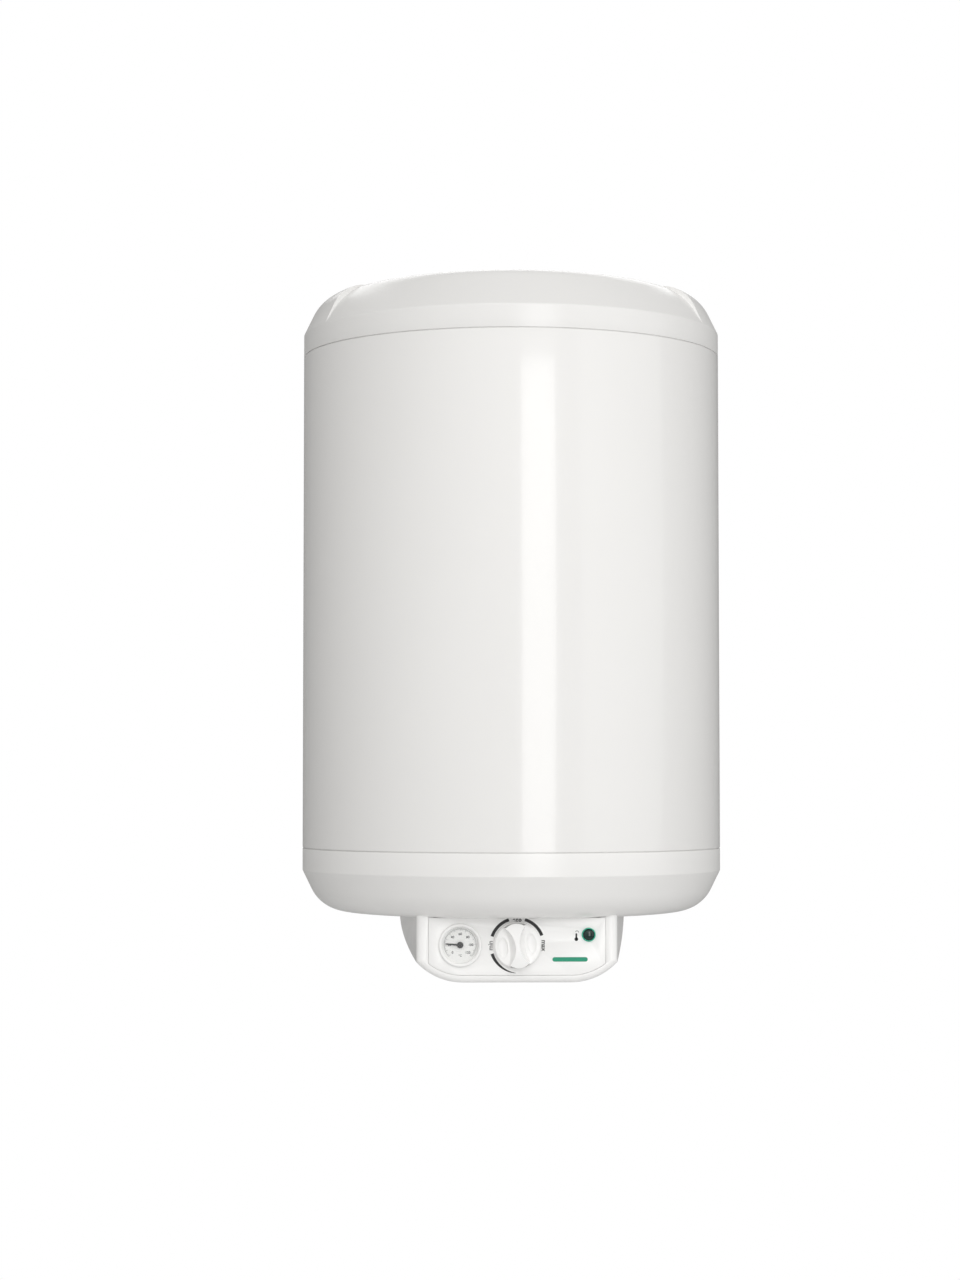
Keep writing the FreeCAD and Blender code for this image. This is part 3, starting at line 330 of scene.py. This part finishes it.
def add_object(name, data):
    thing = bpy.data.objects.new(name, data)
    bpy.context.scene.collection.objects.link(thing)
    return thing


def evaluated_mesh(thing):
    bpy.context.view_layer.update()
    graph = bpy.context.evaluated_depsgraph_get()
    return bpy.data.meshes.new_from_object(thing.evaluated_get(graph), depsgraph=graph)


def faces_inward(bm):
    """True where an open skin's normals point to the middle of its vertices."""
    centre = sum((v.co for v in bm.verts), Vector()) / len(bm.verts)
    return sum((f.calc_center_median() - centre).dot(f.normal) * f.calc_area() for f in bm.faces) < 0


def piece(name, bm, finish, place=Matrix(), stands_for=(), body="heater", slot=None, smooth=32.0,
          bevel=0.0, wall=0.0, cutters=(), flats=False):
    """Turn a bmesh into a finished piece that rides on a body."""
    bmesh.ops.remove_doubles(bm, verts=bm.verts, dist=1e-7)
    bm.transform(place)
    bmesh.ops.recalc_face_normals(bm, faces=bm.faces)
    if wall and faces_inward(bm):
        bmesh.ops.reverse_faces(bm, faces=bm.faces)
    mesh = mesh_from(name, bm)
    thing = add_object(name, mesh)
    if wall:
        solid = thing.modifiers.new("wall", "SOLIDIFY")
        solid.thickness = wall
        solid.offset = -1
        solid.use_even_offset = True
    for cutter in cutters:
        cut = thing.modifiers.new("cut", "BOOLEAN")
        cut.operation = "DIFFERENCE"
        cut.solver = "EXACT"
        cut.object = cutter
    if bevel:
        edge = thing.modifiers.new("bevel", "BEVEL")
        edge.width = bevel
        edge.segments = BEVEL_STEPS
        edge.limit_method = "ANGLE"
        edge.angle_limit = math.radians(smooth)
        edge.harden_normals = True
        mesh.shade_smooth()
    if flats:
        mesh.shade_smooth()
        mesh.set_sharp_from_angle(angle=math.radians(smooth))
        even = thing.modifiers.new("even", "WEIGHTED_NORMAL")
        even.keep_sharp = True
        even.weight = 100
    if thing.modifiers:
        final = evaluated_mesh(thing)
        thing.modifiers.clear()
        thing.data = final
        mesh = final
    if not flats:
        mesh.shade_smooth()
    if not bevel and not flats:
        mesh.set_sharp_from_angle(angle=math.radians(smooth))
    mesh.materials.clear()
    mesh.materials.append(FINISH[finish])
    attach(thing, body)
    if stands_for:
        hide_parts(*stands_for)
    return thing


def refined(name, node, finish, join_faces=True, **how):
    """The CAD piece's own shape, with its vertices joined and, unless told not to, its flat faces too."""
    bm = bmesh.new()
    bm.from_mesh(NODES[node].data)
    bmesh.ops.remove_doubles(bm, verts=bm.verts, dist=2e-6)
    if join_faces:
        bmesh.ops.dissolve_limit(bm, angle_limit=math.radians(0.4), verts=bm.verts, edges=bm.edges)
    return piece(name, bm, finish, stands_for=[node], **how)


def cutter(bm, place=Matrix()):
    """A tool for a boolean cut, removed once it has been used."""
    bm.transform(place)
    bmesh.ops.recalc_face_normals(bm, faces=bm.faces)
    return add_object("tool", mesh_from("tool", bm))


def drum(radius, low, high, segments=48):
    return lathe([(0, low), (radius, low), (radius, high), (0, high)], segments)


def prism(outline, low, high):
    """A closed solid from an outline of (x, y) points, between two heights."""
    bm = bmesh.new()
    rows = [[bm.verts.new((x, y, z)) for x, y in outline] for z in (low, high)]
    skin(bm, rows)
    for row in rows:
        bm.faces.new(row)
    return bm


# ---- jacket and caps --------------------------------------------------------------------------
def make_jacket():
    inner = BODY_R - JACKET_SHEET
    low, high = JACKET_BOTTOM, JACKET_TOP
    corners = [(BODY_R, low), (BODY_R, high), (inner, high), (inner, low)]
    section = rounded(corners, [0.3 * MM] * 4, 3)
    tools = []
    hole_start, hole_depth = 180 * MM, 70 * MM
    to_wall = Matrix.Rotation(-math.pi / 2, 4, "X")
    for node in ("upper_wall_bracket", "lower_wall_bracket"):
        for x in (-BOLT_X, BOLT_X):
            place = Matrix.Translation((x, AXIS_Y + hole_start, middle(node).z)) @ to_wall
            tools.append(cutter(drum(BOSS_HOLE_R, 0, hole_depth), place))
    piece("enamelled_jacket", lathe(section, 288, loop=True), "white_enamel",
          Matrix.Translation((0, AXIS_Y, 0)), ["outer_jacket"], cutters=tools)
    remove(tools)


def remove(tools):
    for tool in tools:
        bpy.data.objects.remove(tool)


def plain_height(radius):
    """Height of the cap's plain surface above its seam."""
    slope_end = BODY_R - CAP_SLOPE_RISE / math.tan(CAP_SLOPE)
    round_centre = slope_end - CAP_ROUND_R * math.sin(CAP_SLOPE)
    if radius > slope_end:
        return CAP_BAND + (BODY_R - radius) * math.tan(CAP_SLOPE)
    if radius > round_centre:
        return CROWN_Z - CAP_ROUND_R + math.sqrt(CAP_ROUND_R ** 2 - (radius - round_centre) ** 2)
    return CROWN_Z


def recess_height(radius):
    """Height of the bevelled front, which meets the crown in a softened edge."""
    bevel = CAP_BAND + (BODY_R - radius) * RECESS_RISE / (BODY_R - RECESS_TOP_R)
    plain = plain_height(radius)
    if radius > (BODY_R + RECESS_TOP_R) / 2:
        return min(plain, bevel)
    near = max(RECESS_EDGE - abs(plain - bevel), 0) / RECESS_EDGE
    return min(plain, bevel) - near * near * RECESS_EDGE / 4


def crease(slope):
    """The soft edge between a cap's upright band and its slope, as (radius, height) points."""
    turn = math.pi / 2 - slope
    reach = CREASE_R * math.tan(turn / 2)
    return [(BODY_R - CREASE_R + CREASE_R * math.cos(turn * k / 5),
             CAP_BAND - reach + CREASE_R * math.sin(turn * k / 5)) for k in range(6)]


def recess_share(degrees):
    """1 across the bevelled front, slowly less towards its ends, and 0 round the rest."""
    inside = (RECESS_HALF - abs(degrees)) / RECESS_END
    if inside <= 0:
        return 0.0
    faded = max(0.0, (abs(degrees) - RECESS_FADE) / (RECESS_HALF - RECESS_FADE))
    return math.sqrt(1 - (1 - min(inside, 1.0)) ** 2) * (1 - (1 - RECESS_END_SHARE) * faded ** 2)


def end_groove(degrees, radius):
    """Depth of the fine groove at each end of the recess."""
    near = 1 - abs(RECESS_HALF - GROOVE_HALF - abs(degrees)) / GROOVE_HALF
    deep = (plain_height(radius) - recess_height(radius)) / GROOVE_FADE
    return RECESS_GROOVE * max(near, 0) * max(0, min(deep, 1))


def steps_between(first, last, count):
    return [first + (last - first) * i / count for i in range(count)]


def cap(recessed):
    """A cap's outer skin with its spigot: seam at z = 0, crown up, front towards -Y."""
    foot = [(SPIGOT_R, -SPIGOT_DEPTH), (SPIGOT_R, SEAM_GAP)]
    foot += [(BODY_R - 0.6 * MM, SEAM_GAP), (BODY_R - 0.15 * MM, SEAM_GAP + 0.15 * MM),
             (BODY_R, SEAM_GAP + 0.6 * MM), (BODY_R, CAP_BAND / 2)]
    bevel = math.atan2(RECESS_RISE, BODY_R - RECESS_TOP_R)
    plain_crease, bevel_crease = crease(CAP_SLOPE), crease(bevel)
    slope_top, edge_out, edge_in = 215.2, 186, 176
    stations = steps_between(223.9, slope_top, 9) + steps_between(slope_top, edge_out, 24)
    stations += steps_between(edge_out, edge_in, 24) + [edge_in, 168, 150, 120, 80, 40, 0]
    radii = [s * MM for s in stations]

    column, fine_column, just_past = 1.5, 0.125, 0.02
    degrees = {i * column for i in range(-120, 120)}
    if recessed:
        for side in (-1, 1):
            degrees |= {side * (RECESS_HALF + just_past - fine_column * k) for k in range(-3, 19)}
            degrees |= {side * RECESS_HALF}
    bm = bmesh.new()
    columns = []
    for a in sorted(degrees):
        share = recess_share(a) if recessed else 0.0
        profile = list(foot)
        for p, b in zip(plain_crease, bevel_crease):
            profile.append((p[0] + (b[0] - p[0]) * share, p[1] + (b[1] - p[1]) * share))
        for r in radii:
            height = plain_height(r) * (1 - share)
            if share:
                height += recess_height(r) * share - end_groove(a, r)
            profile.append((r, height))
        way = (math.sin(math.radians(a)), -math.cos(math.radians(a)))
        columns.append([bm.verts.new((r * way[0], r * way[1], z)) for r, z in profile])
    skin(bm, columns, close_rows=True, close_columns=False)
    bmesh.ops.remove_doubles(bm, verts=bm.verts, dist=1e-6)
    return bm


def make_caps():
    piece("moulded_top_cap", cap(True), "white_plastic", Matrix.Translation((0, AXIS_Y, JACKET_TOP)),
          ["top_cap"], wall=CAP_WALL, smooth=28)
    bm = cap(False)
    over = Matrix.Translation((0, AXIS_Y, JACKET_BOTTOM)) @ Matrix.Scale(-1, 4, (0, 0, 1))
    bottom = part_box("bottom_cap")[0].z
    tools = [cutter(drum(PIPE_HOLE_R, -0.01, 0.01), Matrix.Translation((x, AXIS_Y + PIPE_BEHIND, bottom)))
             for x in (-PIPE_X, PIPE_X)]
    margin = 8 * MM
    front, back = BOX_LOW.y + margin + 8 * MM, BOX_HIGH.y - margin
    narrow, wide = 94 * MM, BOX_HIGH.x - margin
    outline = [(-narrow, front), (narrow, front), (wide, AXIS_Y), (wide - 6 * MM, back),
               (6 * MM - wide, back), (-wide, AXIS_Y)]
    tools.append(cutter(prism(outline, bottom - 0.01, bottom + 5 * MM)))
    piece("moulded_bottom_cap", bm, "white_plastic", over, ["bottom_cap"], wall=CAP_WALL, smooth=28,
          cutters=tools)
    remove(tools)


# ---- knob ------------------------------------------------------------------------------------
def make_knob():
    """A stepped disc with a waisted grip across it and a dished pad on each side."""
    disc_r = 22.6 * MM
    foot_w, flange_w, pad_w, ridge_w = 1.2 * MM, 2.9 * MM, 6.6 * MM, 17.0 * MM
    corner_x = 11.0 * MM
    corner_y = math.sqrt(disc_r ** 2 - corner_x ** 2)
    foot_waist, ridge_waist, ridge_drop = 7.7 * MM, 2.0 * MM, 3.2 * MM
    pad_x, pad_half, pad_long, pad_dish, pad_lip = 14.6 * MM, 5.0 * MM, 10.5 * MM, 1.5 * MM, 0.25 * MM

    def waisted(waist, y):
        """Half-width at height y of a circular arc from the corner through the waist."""
        sag = corner_x - waist
        bow = (sag * sag + corner_y * corner_y) / (2 * sag)
        return waist + bow - math.sqrt(max(bow * bow - y * y, 0))

    def ridge_height(y):
        return ridge_w - ridge_drop * (y / disc_r) ** 2

    def slope_height(share, y):
        rise = 0.45 * share + 0.55 * share * share
        return pad_w + (ridge_height(y) - pad_w) * rise

    def pad_height(x, y):
        off = math.hypot((abs(x) - pad_x) / pad_half, y / pad_long)
        dish = max(0.0, 1 - off * off)
        lip = math.exp(-((off - 1.0) / 0.10) ** 2)
        return pad_w - pad_dish * math.sqrt(dish) * min(1.0, dish * 4) + pad_lip * lip

    spans = (22, 12, 10)
    bm = bmesh.new()
    rows = []
    for k in range(73):
        angle = -math.pi / 2 + math.pi * k / 72
        y = disc_r * math.sin(angle)
        half = disc_r * math.cos(angle)
        foot = min(half, waisted(foot_waist, y))
        ridge = min(foot, waisted(ridge_waist, y))
        right = [(x, slope_height(1, y)) for x in steps_between(0, ridge, spans[2] // 2)]
        reach = max(foot - ridge, 1e-9)
        right += [(x, slope_height((foot - x) / reach, y)) for x in steps_between(ridge, foot, spans[1])]
        if half - foot > 1e-6:
            right += [(x, pad_height(x, y)) for x in steps_between(foot, half, spans[0])]
            right.append((half, pad_w))
        else:
            right += [(half, slope_height(1, y))] * (spans[0] + 1)
        line = [(-x, w) for x, w in reversed(right[1:])] + right
        rows.append([bm.verts.new((x, y, w)) for x, w in line])
    skin(bm, rows, close_columns=False)
    bmesh.ops.remove_doubles(bm, verts=bm.verts, dist=3e-5)
    rim = [e for e in bm.edges if e.is_boundary]
    for radius, w in ((disc_r, flange_w), (KNOB_R - 0.3 * MM, flange_w), (KNOB_R, flange_w - 0.3 * MM),
                      (KNOB_R, foot_w)):
        moved = bmesh.ops.extrude_edge_only(bm, edges=rim)["geom"]
        rim = [g for g in moved if isinstance(g, bmesh.types.BMEdge)]
        for v in {v for e in rim for v in e.verts}:
            flat = Vector((v.co.x, v.co.y)).normalized() * radius
            v.co = (flat.x, flat.y, w)
    bmesh.ops.contextual_create(bm, geom=rim)
    place = facing(KNOB.x, KNOB.z) @ Matrix.Rotation(KNOB_REST, 4, "Z")
    # the knob uses the brighter copy of white plastic: painted light
    piece("waisted_knob", bm, "painted_lit_white_plastic", place, ["thermostat_knob"], body="knob",
          slot="white_plastic", smooth=34, bevel=0.35 * MM)


# ---- thermometer -----------------------------------------------------------------------------
def lettering(text, size, place, weight=0.0, spacing=1.0):
    """Small letters or numbers as a thin raised print."""
    curve = bpy.data.curves.new("letters", "FONT")
    curve.body = text
    curve.size = size
    curve.align_x = "CENTER"
    curve.align_y = "CENTER"
    curve.extrude = PRINT / 2
    curve.space_character = spacing
    curve.offset = weight
    curve.resolution_u = 6
    thing = add_object("letters", curve)
    mesh = evaluated_mesh(thing)
    bpy.data.objects.remove(thing)
    bm = bmesh.new()
    bm.from_mesh(mesh)
    bm.transform(place)
    return bm


def joined(meshes):
    """Several bmeshes as one."""
    whole = bmesh.new()
    for bm in meshes:
        whole.from_mesh(mesh_from("part", bm))
    return whole


def clock(radius, degrees):
    """A point on a dial: degrees clockwise from 12 o'clock."""
    angle = math.radians(degrees)
    return Vector((radius * math.sin(angle), radius * math.cos(angle), 0))


def bar(width, height, corner=0.0):
    """A thin printed rectangle with round corners, centred."""
    w, h = width / 2, height / 2
    corners = [(w, h), (-w, h), (-w, -h), (w, -h)]
    outline = rounded(corners, [corner] * 4, 6) if corner else corners
    return prism(outline, 0, PRINT)


def make_thermometer():
    outer = 21.9 * MM
    ring = [(outer - 0.8 * MM, 0), (outer - 0.8 * MM, 0.45 * MM), (outer, 0.45 * MM), (outer, 3.0 * MM),
            (19.9 * MM, 3.0 * MM), (18.7 * MM, 1.9 * MM), (18.7 * MM, 0)]
    section = rounded(ring, [0, 0, 0.1 * MM, 1.3 * MM, 0.5 * MM, 0.2 * MM, 0], 5)
    # the ring uses the brighter copy of white plastic: painted light
    piece("gauge_ring", lathe(section, 128, loop=True), "painted_lit_white_plastic", facing(GAUGE.x, GAUGE.z),
          ["thermometer_bezel"], slot="white_plastic")

    glass_r, dome = 18.6 * MM, 0.9 * MM
    steps = 12
    front = [(glass_r * k / steps, 0.9 * MM + dome * (1 - (k / steps) ** 2)) for k in range(steps + 1)]
    back = [(r, w - 0.8 * MM) for r, w in reversed(front)]
    piece("gauge_glass", lathe(front + back, 96), "clear_lens", facing(GAUGE.x, GAUGE.z),
          ["thermometer_lens"])

    plate = facing(GAUGE.x, GAUGE.z, FACE_Y + 4 * MM - PRINT / 2)
    first, span, top = -135.0, 270.0, 120
    number_r, mark_r = 11.0 * MM, 16.2 * MM
    numbers = []
    for value in range(0, top + 1, 20):
        place = Matrix.Translation(clock(number_r, first + span * value / top))
        numbers.append(lettering(str(value), 3.5 * MM, place, 0.09 * MM))
    numbers.append(lettering("°C", 3.2 * MM, Matrix.Translation(clock(number_r, 180)), 0.05 * MM))
    piece("gauge_numbers", joined(numbers), "ink_black", plate, smooth=30)
    marks = []
    for value in range(0, top + 1, 2):
        angle = first + span * value / top
        length = 2.2 * MM if value % 10 == 0 else 1.1 * MM
        turn = Matrix.Rotation(-math.radians(angle), 4, "Z")
        mark = bar(0.22 * MM if value % 10 else 0.32 * MM, length)
        mark.transform(Matrix.Translation(clock(mark_r - length / 2, angle)) @ turn)
        marks.append(mark)
    marks.append(arc_band(16.3 * MM, 16.55 * MM, first, first + span))
    piece("gauge_marks", joined(marks), "ink_grey", plate, smooth=30)

    needle = [(-1.2, -3.0), (1.2, -3.0), (0.95, 3.0), (0.62, 14.6), (0, 15.3), (-0.62, 14.6), (-0.95, 3.0)]
    pointer = prism([(x * MM, y * MM) for x, y in needle], -1.6 * MM, -1.2 * MM)
    hub_r = 3.3 * MM
    hub = lathe([(0, -2.1 * MM), (hub_r, -2.1 * MM), (hub_r, -1.25 * MM), (hub_r - 0.3 * MM, -0.95 * MM),
                 (1.2 * MM, -0.75 * MM), (0, -0.7 * MM)], 48)
    place = facing(GAUGE.x, GAUGE.z) @ Matrix.Rotation(GAUGE_REST, 4, "Z")
    piece("gauge_needle", joined([pointer, hub]), "black_plastic", place, ["thermometer_needle"],
          body="needle", bevel=0.08 * MM)


# ---- print on the panel ------------------------------------------------------------------------
def arc_band(inner, outer, start, end, tip=1.0):
    """A printed arc, degrees clockwise from 12 o'clock, that thins to a share of its width."""
    bm = bmesh.new()
    count = max(8, int(abs(end - start) / 2))
    rows = []
    for i in range(count + 1):
        share = i / count
        angle = start + (end - start) * share
        width = (outer - inner) * (1 - (1 - tip) * share ** 1.5)
        near, far = clock(outer - width, angle), clock(outer, angle)
        lift = Vector((0, 0, PRINT))
        rows.append([bm.verts.new(p) for p in (near, far, far + lift, near + lift)])
    skin(bm, rows)
    bm.faces.new(rows[0])
    bm.faces.new(rows[-1])
    return bm


def make_prints():
    at_knob = facing(KNOB.x, KNOB.z)
    inner, outer = 25.4 * MM, 28.6 * MM
    arcs = [arc_band(inner, outer, -71, -18), arc_band(inner, outer, 17, 69),
            arc_band(inner, outer, -109, -177, tip=0.12)]
    piece("scale_arcs", joined(arcs), "ink_black", at_knob, smooth=30)
    word_r = 27.0 * MM
    eco = lettering("eco", 5.6 * MM, Matrix.Translation(clock(word_r - 1.4 * MM, 0)), 0.24 * MM, 1.15)
    piece("word_eco", eco, "ink_black", at_knob)
    low = Matrix.Translation(clock(word_r, -91)) @ Matrix.Rotation(math.pi / 2, 4, "Z")
    high = Matrix.Translation(clock(word_r, 91)) @ Matrix.Rotation(-math.pi / 2, 4, "Z")
    piece("word_min", lettering("min", 6.6 * MM, low, 0.14 * MM), "ink_grey", at_knob)
    piece("word_max", lettering("max", 6.6 * MM, high, 0.16 * MM), "ink_black", at_knob)

    bulb = drum(1.9 * MM, 0, PRINT, 32)
    bulb.transform(Matrix.Translation((0, -3.0 * MM, 0)))
    stem = bar(1.8 * MM, 6.4 * MM, corner=0.85 * MM)
    stem.transform(Matrix.Translation((0, -0.2 * MM, 0)))
    sign = joined([bulb, stem])
    piece("lamp_sign", sign, "ink_black", facing(LAMP.x - 12.6 * MM, LAMP.z - 1.6 * MM))
    hook = arc_band(1.2 * MM, 1.8 * MM, -80, 100)
    piece("lamp_sign_hook", hook, "ink_grey", facing(LAMP.x - 11.9 * MM, LAMP.z + 2.4 * MM))
    piece("green_bar", bar(36 * MM, 4.6 * MM, corner=2.2 * MM), "ink_green",
          facing(KNOB.x + 54 * MM, KNOB.z - 14.6 * MM))


# ---- lamp --------------------------------------------------------------------------------------
def make_lamp():
    ring = [(5.95 * MM, 0), (7.1 * MM, 0), (7.1 * MM, 1.6 * MM), (5.95 * MM, 1.6 * MM)]
    section = rounded(ring, [0, 0.1 * MM, 0.5 * MM, 0.2 * MM], 5)
    at_lamp = facing(LAMP.x, LAMP.z)
    piece("lamp_ring", lathe(section, 72, loop=True), "green_rim", at_lamp, ["lamp_rim"])
    lens_r, rise = 5.85 * MM, 3.1 * MM
    dome = [(lens_r * math.cos(t), 0.5 * MM + rise * math.sin(t))
            for t in (math.pi / 2 * k / 14 for k in range(15))]
    foot = [(0, -2 * MM), (lens_r, -2 * MM)]
    piece("lamp_dome", lathe(foot + dome[:-1] + [(0, dome[-1][1])], 72), "green_lens", at_lamp, ["lamp_lens"])


# ---- pipes ---------------------------------------------------------------------------------------
def threaded_pipe(node, name):
    """A steel nipple with a true helical male thread at its foot."""
    low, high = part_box(node)
    body_r = 10.2 * MM
    bm = bmesh.new()
    segments, per_pitch = 60, 6
    rows = []
    turns = int(THREAD_LENGTH / THREAD_PITCH * per_pitch)
    for k in range(turns + 1):
        z = THREAD_PITCH * k / per_pitch
        row = []
        for i in range(segments):
            angle = 2 * math.pi * i / segments
            phase = (z / THREAD_PITCH - angle / (2 * math.pi)) % 1.0
            depth = min(1.0, max(0.0, 2.4 * abs(phase - 0.5) - 0.1))
            radius = THREAD_R - (THREAD_R - THREAD_ROOT_R) * depth
            lead_in = THREAD_ROOT_R - 0.2 * MM + z * 0.8
            run_out = THREAD_ROOT_R + (THREAD_LENGTH - z) * 1.2
            radius = min(radius, lead_in, run_out)
            row.append(bm.verts.new((radius * math.cos(angle), radius * math.sin(angle), z)))
        rows.append(row)
    height = high.z - low.z
    for radius, z in ((THREAD_ROOT_R, THREAD_LENGTH + 0.2 * MM), (body_r, THREAD_LENGTH + 1 * MM),
                      (body_r, height), (PIPE_BORE_R, height), (PIPE_BORE_R, 0.6 * MM),
                      (PIPE_BORE_R + 0.5 * MM, 0)):
        rows.append(round_row(bm, radius, z, segments))
    skin(bm, rows, close_rows=True)
    centre = middle(node)
    piece(name, bm, "zinc_steel", Matrix.Translation((centre.x, centre.y, low.z)), [node], smooth=38)


def make_fittings():
    threaded_pipe("cold_inlet_pipe", "cold_threaded_pipe")
    threaded_pipe("hot_outlet_pipe", "hot_threaded_pipe")
    refined("cold_blue_collar", "cold_collar", "blue_plastic", bevel=0.4 * MM)
    refined("hot_red_collar", "hot_collar", "red_plastic", bevel=0.4 * MM)
    refined("upper_bracket_strip", "upper_wall_bracket", "zinc_steel", bevel=0.4 * MM)
    refined("lower_bracket_strip", "lower_wall_bracket", "zinc_steel", bevel=0.4 * MM)
    refined("bracket_hex_bolts", "bracket_bolts", "zinc_steel", bevel=0.5 * MM)
    refined("rear_gland", "cable_gland", "grey_plastic", bevel=0.4 * MM)


def make_control_box():
    # box and face plate use the brighter copy of white plastic: painted light
    refined("moulded_box", "control_box", "painted_lit_white_plastic", slot="white_plastic", join_faces=False,
            smooth=30, flats=True)
    plate = refined("face_plate", "control_panel", "painted_lit_white_plastic", slot="white_plastic", bevel=0.3 * MM)
    top = max(v.co.z for v in plate.data.vertices)
    cap_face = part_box("bottom_cap")[0].z
    for v in plate.data.vertices:
        if v.co.z > top - 0.5 * MM:
            v.co.z += cap_face - top


# ---- stage, light and camera -----------------------------------------------------------------------
def aim(thing, target):
    way = Vector(target) - thing.location
    thing.rotation_euler = way.to_track_quat("-Z", "Y").to_euler()


def softbox(name, azimuth, distance, width, height, z, radiance):
    """A rectangular light; azimuth 0 is straight in front, 90 towards +X."""
    light = bpy.data.lights.new(name, "AREA")
    light.shape = "RECTANGLE"
    light.size = width
    light.size_y = height
    light.energy = radiance * math.pi * width * height
    thing = add_object(name, light)
    angle = math.radians(azimuth)
    thing.location = (distance * math.sin(angle), AXIS_Y - distance * math.cos(angle), z)
    aim(thing, (0, AXIS_Y, LIGHT_TARGET_Z))
    thing.visible_camera = False


def make_world():
    """White behind the object, and a soft room with brighter parts for everything it reflects."""
    world = bpy.data.worlds.new("room")
    bpy.context.scene.world = world
    world.use_nodes = True
    n = Nodes(world.node_tree)
    world.node_tree.nodes.clear()
    way = n.add("ShaderNodeTexCoord").outputs["Generated"]
    glow = ROOM_LEVEL
    for azimuth, lift, strength in ROOM_GLOWS:
        a, e = math.radians(azimuth), math.radians(lift)
        toward = n.tree.nodes.new("ShaderNodeVectorMath")
        toward.operation = "DOT_PRODUCT"
        n.set(toward.inputs[0], way)
        toward.inputs[1].default_value = (math.sin(a) * math.cos(e), -math.cos(a) * math.cos(e), math.sin(e))
        front = n.maths("MAXIMUM", toward.outputs["Value"], 0.0)
        glow = n.maths("MULTIPLY_ADD", n.maths("POWER", front, ROOM_FOCUS), strength, glow)
    room = n.add("ShaderNodeBackground", Color=(1.0, 0.994, 0.984, 1), Strength=glow)
    white = n.add("ShaderNodeBackground", Color=(1, 1, 1, 1), Strength=1.0)
    seen = n.add("ShaderNodeLightPath").outputs["Is Camera Ray"]
    mix = n.tree.nodes.new("ShaderNodeMixShader")
    n.set(mix.inputs[0], seen)
    n.set(mix.inputs[1], room.outputs["Background"])
    n.set(mix.inputs[2], white.outputs["Background"])
    out = n.add("ShaderNodeOutputWorld")
    n.set(out.inputs["Surface"], mix.outputs["Shader"])


def make_lights():
    make_world()
    softbox("strip", 12.25, 2.5, 0.77, 2.2, -0.1, 3.0)
    softbox("right_panel", 60.0, 2.2, 2.05, 2.4, 0.0, 0.6)
    softbox("rear_panel", 180.0, 2.2, 2.4, 1.4, 1.9, 1.5)


def make_floor():
    """A pale floor well below the heater that fades out at its edge."""
    floor_z, radius = -2.1, 4.5
    material, n, shader = new_material("pale_floor")
    where = n.add("ShaderNodeTexCoord").outputs["Object"]
    mottle = n.add("ShaderNodeTexNoise", Vector=where, Scale=3.0, Detail=5.0)
    tone = n.tree.nodes.new("ShaderNodeMapRange")
    n.set(tone.inputs["Value"], mottle.outputs["Fac"])
    tone.inputs["To Min"].default_value = 0.80
    tone.inputs["To Max"].default_value = 0.86
    n.set(shader.inputs["Base Color"], tone.outputs["Result"])
    shader.inputs["Roughness"].default_value = 0.7
    away = n.tree.nodes.new("ShaderNodeVectorMath")
    away.operation = "LENGTH"
    n.set(away.inputs[0], where)
    fade = n.tree.nodes.new("ShaderNodeMapRange")
    n.set(fade.inputs["Value"], away.outputs["Value"])
    fade.inputs["From Min"].default_value = radius * 0.4
    fade.inputs["From Max"].default_value = radius
    fade.inputs["To Min"].default_value = 1.0
    fade.inputs["To Max"].default_value = 0.0
    n.set(shader.inputs["Alpha"], fade.outputs["Result"])
    mesh = mesh_from("floor", lathe([(0, 0), (radius / 2, 0), (radius, 0)], 96))
    mesh.materials.append(material)
    floor = add_object("floor", mesh)
    floor.location = (0, AXIS_Y, floor_z)


def make_camera():
    data = bpy.data.cameras.new("camera")
    data.sensor_width = 36.0
    data.lens = 76.03
    camera = add_object("camera", data)
    camera.location = (-0.108, -3.174, -0.326)
    camera.rotation_euler = (math.radians(92.763), 0, math.radians(-1.454))
    bpy.context.scene.camera = camera
    bpy.context.scene.view_settings.view_transform = "Standard"


make_camera()
make_lights()
make_floor()
paint_cad_nodes()
make_jacket()
make_caps()
make_control_box()
make_knob()
make_thermometer()
make_prints()
make_lamp()
make_fittings()
